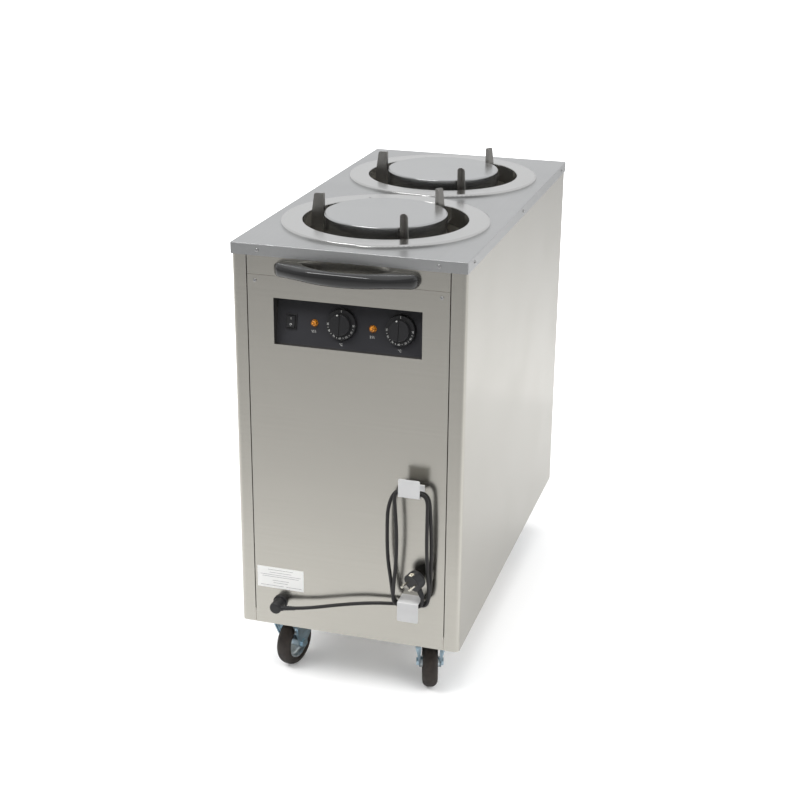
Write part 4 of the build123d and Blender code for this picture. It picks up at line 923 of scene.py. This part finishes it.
# --- casing
@dataclass
class Casing:
    """The sheet casing, its screws and the parts fixed to its front.

    Each of the label's rules has its shift from the middle, its length and its drop from the top.
    """

    recess_length: float = 0.0052
    recess_width: float = 0.0009
    rule_width: float = 0.0007
    rules: tuple[Point, ...] = (
        (0.0, 0.052, 0.0055),
        (0.0, 0.046, 0.0115),
        (0.0, 0.084, 0.0165),
        (0.0, 0.076, 0.0205),
        (0.0, 0.034, 0.0285),
        (0.0, 0.030, 0.0335),
        (-0.018, 0.048, 0.0400),
        (0.028, 0.032, 0.0400),
    )
    sheets: tuple[str, ...] = (
        "front_top_rail", "front_service_panel", "control_housing", "rear_panel",
        "side_panel_left", "side_panel_right",
    )

    def screw_heads(self, nodes: Nodes) -> list[Matrix]:
        """Return a frame on the crown of each screw's head, with Z outwards."""
        work = bmesh.new()
        work.from_mesh(nodes["casing_screws"].data)
        bmesh.ops.remove_doubles(work, verts=work.verts, dist=MERGE_DISTANCE)
        heads = []
        left = set(work.verts)
        for start in work.verts:
            if start not in left:
                continue
            left.remove(start)
            screw = [start]
            for vert in screw:
                for edge in vert.link_edges:
                    other = edge.other_vert(vert)
                    if other in left:
                        left.remove(other)
                        screw.append(other)
            heads.append(self.crown(screw))
        work.free()
        return heads

    @staticmethod
    def crown(screw: list[bmesh.types.BMVert]) -> Matrix:
        """Return the frame on the crown of one screw, which is longer than its head is wide."""
        low = Vector(min(vert.co[axis] for vert in screw) for axis in range(3))
        high = Vector(max(vert.co[axis] for vert in screw) for axis in range(3))
        axis = max(range(3), key=lambda step: high[step] - low[step])
        middle = (low + high) / 2
        out = Vector((0.0, 0.0, 0.0))
        out[axis] = copysign(1.0, middle[axis])
        middle[axis] = high[axis] if out[axis] > 0.0 else low[axis]
        return plane_frame(middle, out.orthogonal().normalized(), out)

    def build_recess_shade(self, nodes: Nodes, palette: Palette) -> Piece:
        """Return flat dark crosses on the screw heads: painted shade standing in for the shadow inside
        each head's cross recess.
        """
        work = bmesh.new()
        bar = (self.recess_length, self.recess_width, PRINT_THICKNESS)
        for head in self.screw_heads(nodes):
            for turn in (pi / 4, 3 * pi / 4):
                bevelled_box(work, bar, head @ Matrix.Rotation(turn, 4, "Z"), PRINT_BEVEL)
        recess_shade = mesh_piece("screw_recess_shade", work)
        # The crosses take the grey print colour as painted shade.
        dress(recess_shade, palette.print)
        return recess_shade

    def build_rules(self, palette: Palette) -> Piece:
        """Return the plain grey rules on the white label."""
        low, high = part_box("rating_label")
        middle = (low.x + high.x) / 2
        work = bmesh.new()
        for shift, length, drop in self.rules:
            spot = Matrix.Translation((middle + shift, low.y, high.z - drop))
            bevelled_box(work, (length, PRINT_THICKNESS, self.rule_width), spot, PRINT_BEVEL)
        rules = mesh_piece("label_rules", work)
        dress(rules, palette.print)
        return rules

    def build(self, palette: Palette, nodes: Nodes) -> None:
        """Dress the casing, paint shade into each screw's cross recess and rule the label."""
        finishes = dict.fromkeys(self.sheets, palette.casing) | {
            "deck_top": palette.deck,
            "base_plate": palette.inner,
            "casing_screws": palette.screw,
            "cord_hook_upper": palette.hook,
            "cord_hook_lower": palette.hook,
            "cable_gland": palette.satin,
            "rating_label": palette.film,
        }
        dress_nodes(nodes, finishes)
        recess_shade = self.build_recess_shade(nodes, palette)
        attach(recess_shade, CABINET)
        rules = self.build_rules(palette)
        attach(rules, CABINET)
        LOG.info("casing with %d rules on its label", len(self.rules))


# --- handle
@dataclass
class PushHandle:
    """The bow handle: a swept crescent, round in section and flat on the panel at its feet."""

    half: float = 0.1395
    reach: float = 0.050
    end_depth: float = 0.014
    foot: float = 0.058
    grip: float = 0.017
    height: float = 0.027
    drop: float = 0.0415
    nose: float = 0.0135
    stations: int = 72
    facets: int = 40
    roundness: float = 2.5
    squareness: float = 12.0

    @staticmethod
    def bow(x: float, half: float, rise: float) -> float:
        """Return how far an arc over a chord of 2 * half, with this rise, stands out at x."""
        radius = (half * half + rise * rise) / (2 * rise)
        return sqrt(radius * radius - x * x) - (radius - rise)

    def section(self, x: float) -> list[Point]:
        """Return the ring of points round the handle at x, with the panel at Y = 0."""
        inner = self.half - self.foot
        rise = self.reach - self.grip
        back = self.bow(x, inner, rise) if abs(x) < inner else 0.0
        front = self.end_depth + self.bow(x, self.half, self.reach - self.end_depth)
        from_tip = min((self.half - abs(x)) / self.nose, 1.0)
        nose = sqrt(max(1.0 - (1.0 - from_tip) ** 2, 0.0))
        front = back + (front - back) * nose
        footing = min(max((abs(x) - inner) / self.nose, 0.0), 1.0)
        back_power = self.roundness + (self.squareness - self.roundness) * footing
        ring = []
        for step in range(self.facets):
            angle = 2 * pi * step / self.facets
            power = 2 / (back_power if cos(angle) > 0 else self.roundness)
            deep = copysign(abs(cos(angle)) ** power, cos(angle)) * (front - back) / 2
            high = copysign(abs(sin(angle)) ** power, sin(angle)) * nose * self.height / 2
            ring.append((x, deep - (front + back) / 2, high))
        return ring

    def build(self, place: PanelFrame, palette: Palette) -> None:
        """Make the handle."""
        work = bmesh.new()
        rings = []
        for step in range(self.stations + 1):
            x = self.half * sin(pi / 2 * (2 * step / self.stations - 1))
            rings.append([work.verts.new(point) for point in self.section(x)])
        for ring, after in zip(rings, rings[1:]):
            for step in range(self.facets):
                turn = (step + 1) % self.facets
                work.faces.new((ring[step], ring[turn], after[turn], after[step]))
        bmesh.ops.remove_doubles(work, verts=work.verts, dist=MERGE_DISTANCE)
        bmesh.ops.recalc_face_normals(work, faces=work.faces)
        handle = mesh_piece("bow_handle", work, Matrix.Translation(place.at(0.0, 0.0, self.drop)))
        smooth(handle, 50.0)
        dress(handle, palette.gloss)
        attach(handle, CABINET)
        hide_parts("push_handle")
        LOG.info("bow handle with %d stations", self.stations)


# --- wells
@dataclass
class PlateWell:
    """One well: its collar, tube, guides, heater, springs and rising platform."""

    well: Well

    def build(self, palette: Palette, nodes: Nodes) -> None:
        """Dress the well's nodes."""
        name = self.well.value
        finishes = {
            f"well_collar_{name}": palette.collar[self.well],
            f"platform_{name}": palette.platform[self.well],
            f"well_tube_{name}": palette.inner,
            f"guide_rails_{name}": palette.guide,
            f"carriage_{name}": palette.inner,
            f"heater_{name}": palette.sheath,
            f"lift_springs_{name}": palette.spring,
        }
        dress_nodes(nodes, finishes)
        LOG.info("well %s dressed", name)


# --- controls
@dataclass
class Controls:
    """The sloping fascia with its switch, lamps, knobs and plain marks."""

    window_drop: float = 0.14375
    window_height: float = 0.0895
    recess_middle: float = 0.020
    recess_run: float = 0.020
    switch_x: float = -0.1145
    switch_y: float = -0.004
    lamp_x: float = -0.070
    lamp_y: float = -0.003
    knob_x: float = -0.016
    knob_y: float = -0.0005
    spacing: float = 0.113
    dial_height: float = 0.0093
    dial_radius: float = 0.0248
    dial_values: tuple[str, ...] = ("30", "40", "50", "60", "70", "80", "90")
    dial_text_size: float = 0.0047
    dash: Span = (0.0024, 0.0007)
    tick: Span = (0.0009, 0.0044)
    cap_height: float = 0.0178
    dot: Span = (-0.0050, 0.0172)
    dot_radius: float = 0.0017
    degree_drop: float = 0.0375
    degree_size: float = 0.0062
    wave_drop: float = 0.0150
    wave_pitch: float = 0.0034
    wave_height: float = 0.0052
    wave_width: float = 0.0007
    wave_sway: float = 0.0006
    wave_steps: int = 10
    rocker_rise: float = 0.0036
    rocker_tilt: float = 0.148
    rocker_step: float = 0.0055
    glyph_size: float = 0.0058
    text_thickness: float = 0.00004
    print_lift: float = 0.00005

    def frame(self, place: PanelFrame) -> Matrix:
        """Return the fascia's own frame: X across, Y up the slope and Z out of it."""
        slope = Vector((0.0, -self.window_height, self.recess_run)).normalized()
        origin = place.at(0.0, -self.recess_middle, self.window_drop)
        return plane_frame(origin, Vector((1.0, 0.0, 0.0)), slope)

    def text(self, work: BMesh, body: str, size: float, place: Matrix) -> None:
        """Add a flat text, centred on its place, to a bmesh."""
        curve = bpy.data.curves.new("text", "FONT")
        curve.body = body
        curve.size = size
        curve.align_x = "CENTER"
        curve.align_y = "CENTER"
        curve.extrude = self.text_thickness
        holder = bpy.data.objects.new("text", curve)
        mesh = bpy.data.meshes.new_from_object(holder)
        mesh.transform(place)
        work.from_mesh(mesh)
        bpy.data.objects.remove(holder)
        bpy.data.curves.remove(curve)
        bpy.data.meshes.remove(mesh)

    def dial_marks(self, fascia: Matrix, shift: float, name: str, palette: Palette) -> Piece:
        """Return the numbers, dashes, tick and dot of a knob that sits a shift from the first."""
        work = bmesh.new()
        hub = fascia @ Matrix.Translation((self.knob_x + shift, self.knob_y, 0.0))
        rim = Matrix.Translation((self.dial_radius, 0.0, self.dial_height))
        between = pi / (len(self.dial_values) - 1)
        for step, value in enumerate(self.dial_values):
            spot = hub @ Matrix.Rotation(-step * between, 4, "Z") @ rim
            self.text(work, value, self.dial_text_size, spot @ Matrix.Rotation(pi / 2, 4, "Z"))
            if step:
                middle = hub @ Matrix.Rotation((0.5 - step) * between, 4, "Z") @ rim
                bevelled_box(work, (*self.dash, PRINT_THICKNESS), middle, PRINT_BEVEL)
        top = hub @ Matrix.Translation((0.0, self.dial_radius, self.dial_height))
        bevelled_box(work, (*self.tick, PRINT_THICKNESS), top, PRINT_BEVEL)
        dot = hub @ Matrix.Translation((*self.dot, self.cap_height))
        bmesh.ops.create_circle(work, cap_ends=True, radius=self.dot_radius, segments=20, matrix=dot)
        marks = mesh_piece(f"dial_marks_{name}", work)
        dress(marks, palette.ink)
        return marks

    def fascia_marks(self, fascia: Matrix, palette: Palette) -> Piece:
        """Return the plain marks printed on the fascia."""
        work = bmesh.new()
        for step in range(2):
            shift = step * self.spacing
            low = self.knob_y - self.degree_drop
            below = Matrix.Translation((self.knob_x + shift, low, self.print_lift))
            self.text(work, "°C", self.degree_size, fascia @ below)
            for bar in (-1, 0, 1):
                across = self.lamp_x + shift + bar * self.wave_pitch
                spot = Matrix.Translation((across, self.lamp_y - self.wave_drop, self.print_lift))
                self.wave(work, fascia @ spot)
        marks = mesh_piece("fascia_marks", work)
        dress(marks, palette.ink)
        return marks

    def wave(self, work: BMesh, place: Matrix) -> None:
        """Add one small upright wave, a plain sign for heat."""
        pairs = []
        for step in range(self.wave_steps + 1):
            along = step / self.wave_steps
            sway = self.wave_sway * sin(2 * pi * along)
            rise = (along - 0.5) * self.wave_height
            edges = (sway - self.wave_width / 2, sway + self.wave_width / 2)
            pairs.append([work.verts.new(place @ Vector((edge, rise, 0.0))) for edge in edges])
        for (left, right), (upper_left, upper_right) in zip(pairs, pairs[1:]):
            work.faces.new((left, right, upper_right, upper_left))

    def rocker_marks(self, fascia: Matrix, palette: Palette) -> Piece:
        """Return the bar and the ring on the rocker's two halves."""
        work = bmesh.new()
        lift = self.rocker_rise + self.rocker_step * self.rocker_tilt + 2 * self.print_lift
        for side, glyph in ((1, "I"), (-1, "O")):
            spot = Matrix.Translation((self.switch_x, self.switch_y + side * self.rocker_step, lift))
            lean = Matrix.Rotation(side * self.rocker_tilt, 4, "X")
            self.text(work, glyph, self.glyph_size, fascia @ spot @ lean)
        marks = mesh_piece("rocker_marks", work)
        dress(marks, palette.ink)
        return marks

    def build(self, place: PanelFrame, palette: Palette, nodes: Nodes) -> None:
        """Dress the controls and add their printed marks."""
        finishes = {
            "control_fascia": palette.fascia,
            "switch_housing": palette.satin,
            "power_rocker": palette.knob,
            "thermostats": palette.satin,
        }
        for side in ("left", "right"):
            finishes[f"heating_lamp_{side}"] = palette.amber
            finishes[f"thermostat_knob_{side}"] = palette.knob
        dress_nodes(nodes, finishes)
        fascia = self.frame(place)
        printed = self.fascia_marks(fascia, palette)
        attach(printed, CABINET)
        rocker = self.rocker_marks(fascia, palette)
        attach(rocker, "rocker")
        for step, side in enumerate(("left", "right")):
            marks = self.dial_marks(fascia, step * self.spacing, side, palette)
            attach(marks, f"knob_{side}")
        LOG.info("controls printed")


# --- casters
@dataclass
class Caster:
    """One swivel caster."""

    corner: Corner

    def build(self, palette: Palette, nodes: Nodes) -> None:
        """Dress the caster's nodes."""
        name = self.corner.value
        finishes = {
            f"caster_mount_{name}": palette.zinc,
            f"caster_fork_{name}": palette.zinc,
            f"caster_rim_{name}": palette.pale_zinc,
            f"caster_tyre_{name}": palette.tyre,
        }
        if self.corner in (Corner.REAR_LEFT, Corner.REAR_RIGHT):
            finishes[f"brake_pedal_{name}"] = palette.zinc
        dress_nodes(nodes, finishes)
        LOG.info("caster %s dressed", name)


def main() -> None:
    """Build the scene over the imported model."""
    logging.basicConfig(level=logging.INFO, format="%(message)s")
    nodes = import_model()["nodes"]
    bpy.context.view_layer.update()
    place = PanelFrame(front=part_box("front_service_panel")[0].y, deck=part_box("deck_top")[1].z)
    centres = {}
    for well in Well:
        low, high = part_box(f"well_collar_{well.value}")
        centres[well] = tuple((low + high) / 2)
    palette = Palette(centres)
    Studio().build()
    MainsCord().build(place, palette, nodes)
    Casing().build(palette, nodes)
    PushHandle().build(place, palette)
    Controls().build(place, palette, nodes)
    for well in Well:
        PlateWell(well).build(palette, nodes)
    for corner in Corner:
        Caster(corner).build(palette, nodes)


if __name__ == "__main__":
    main()
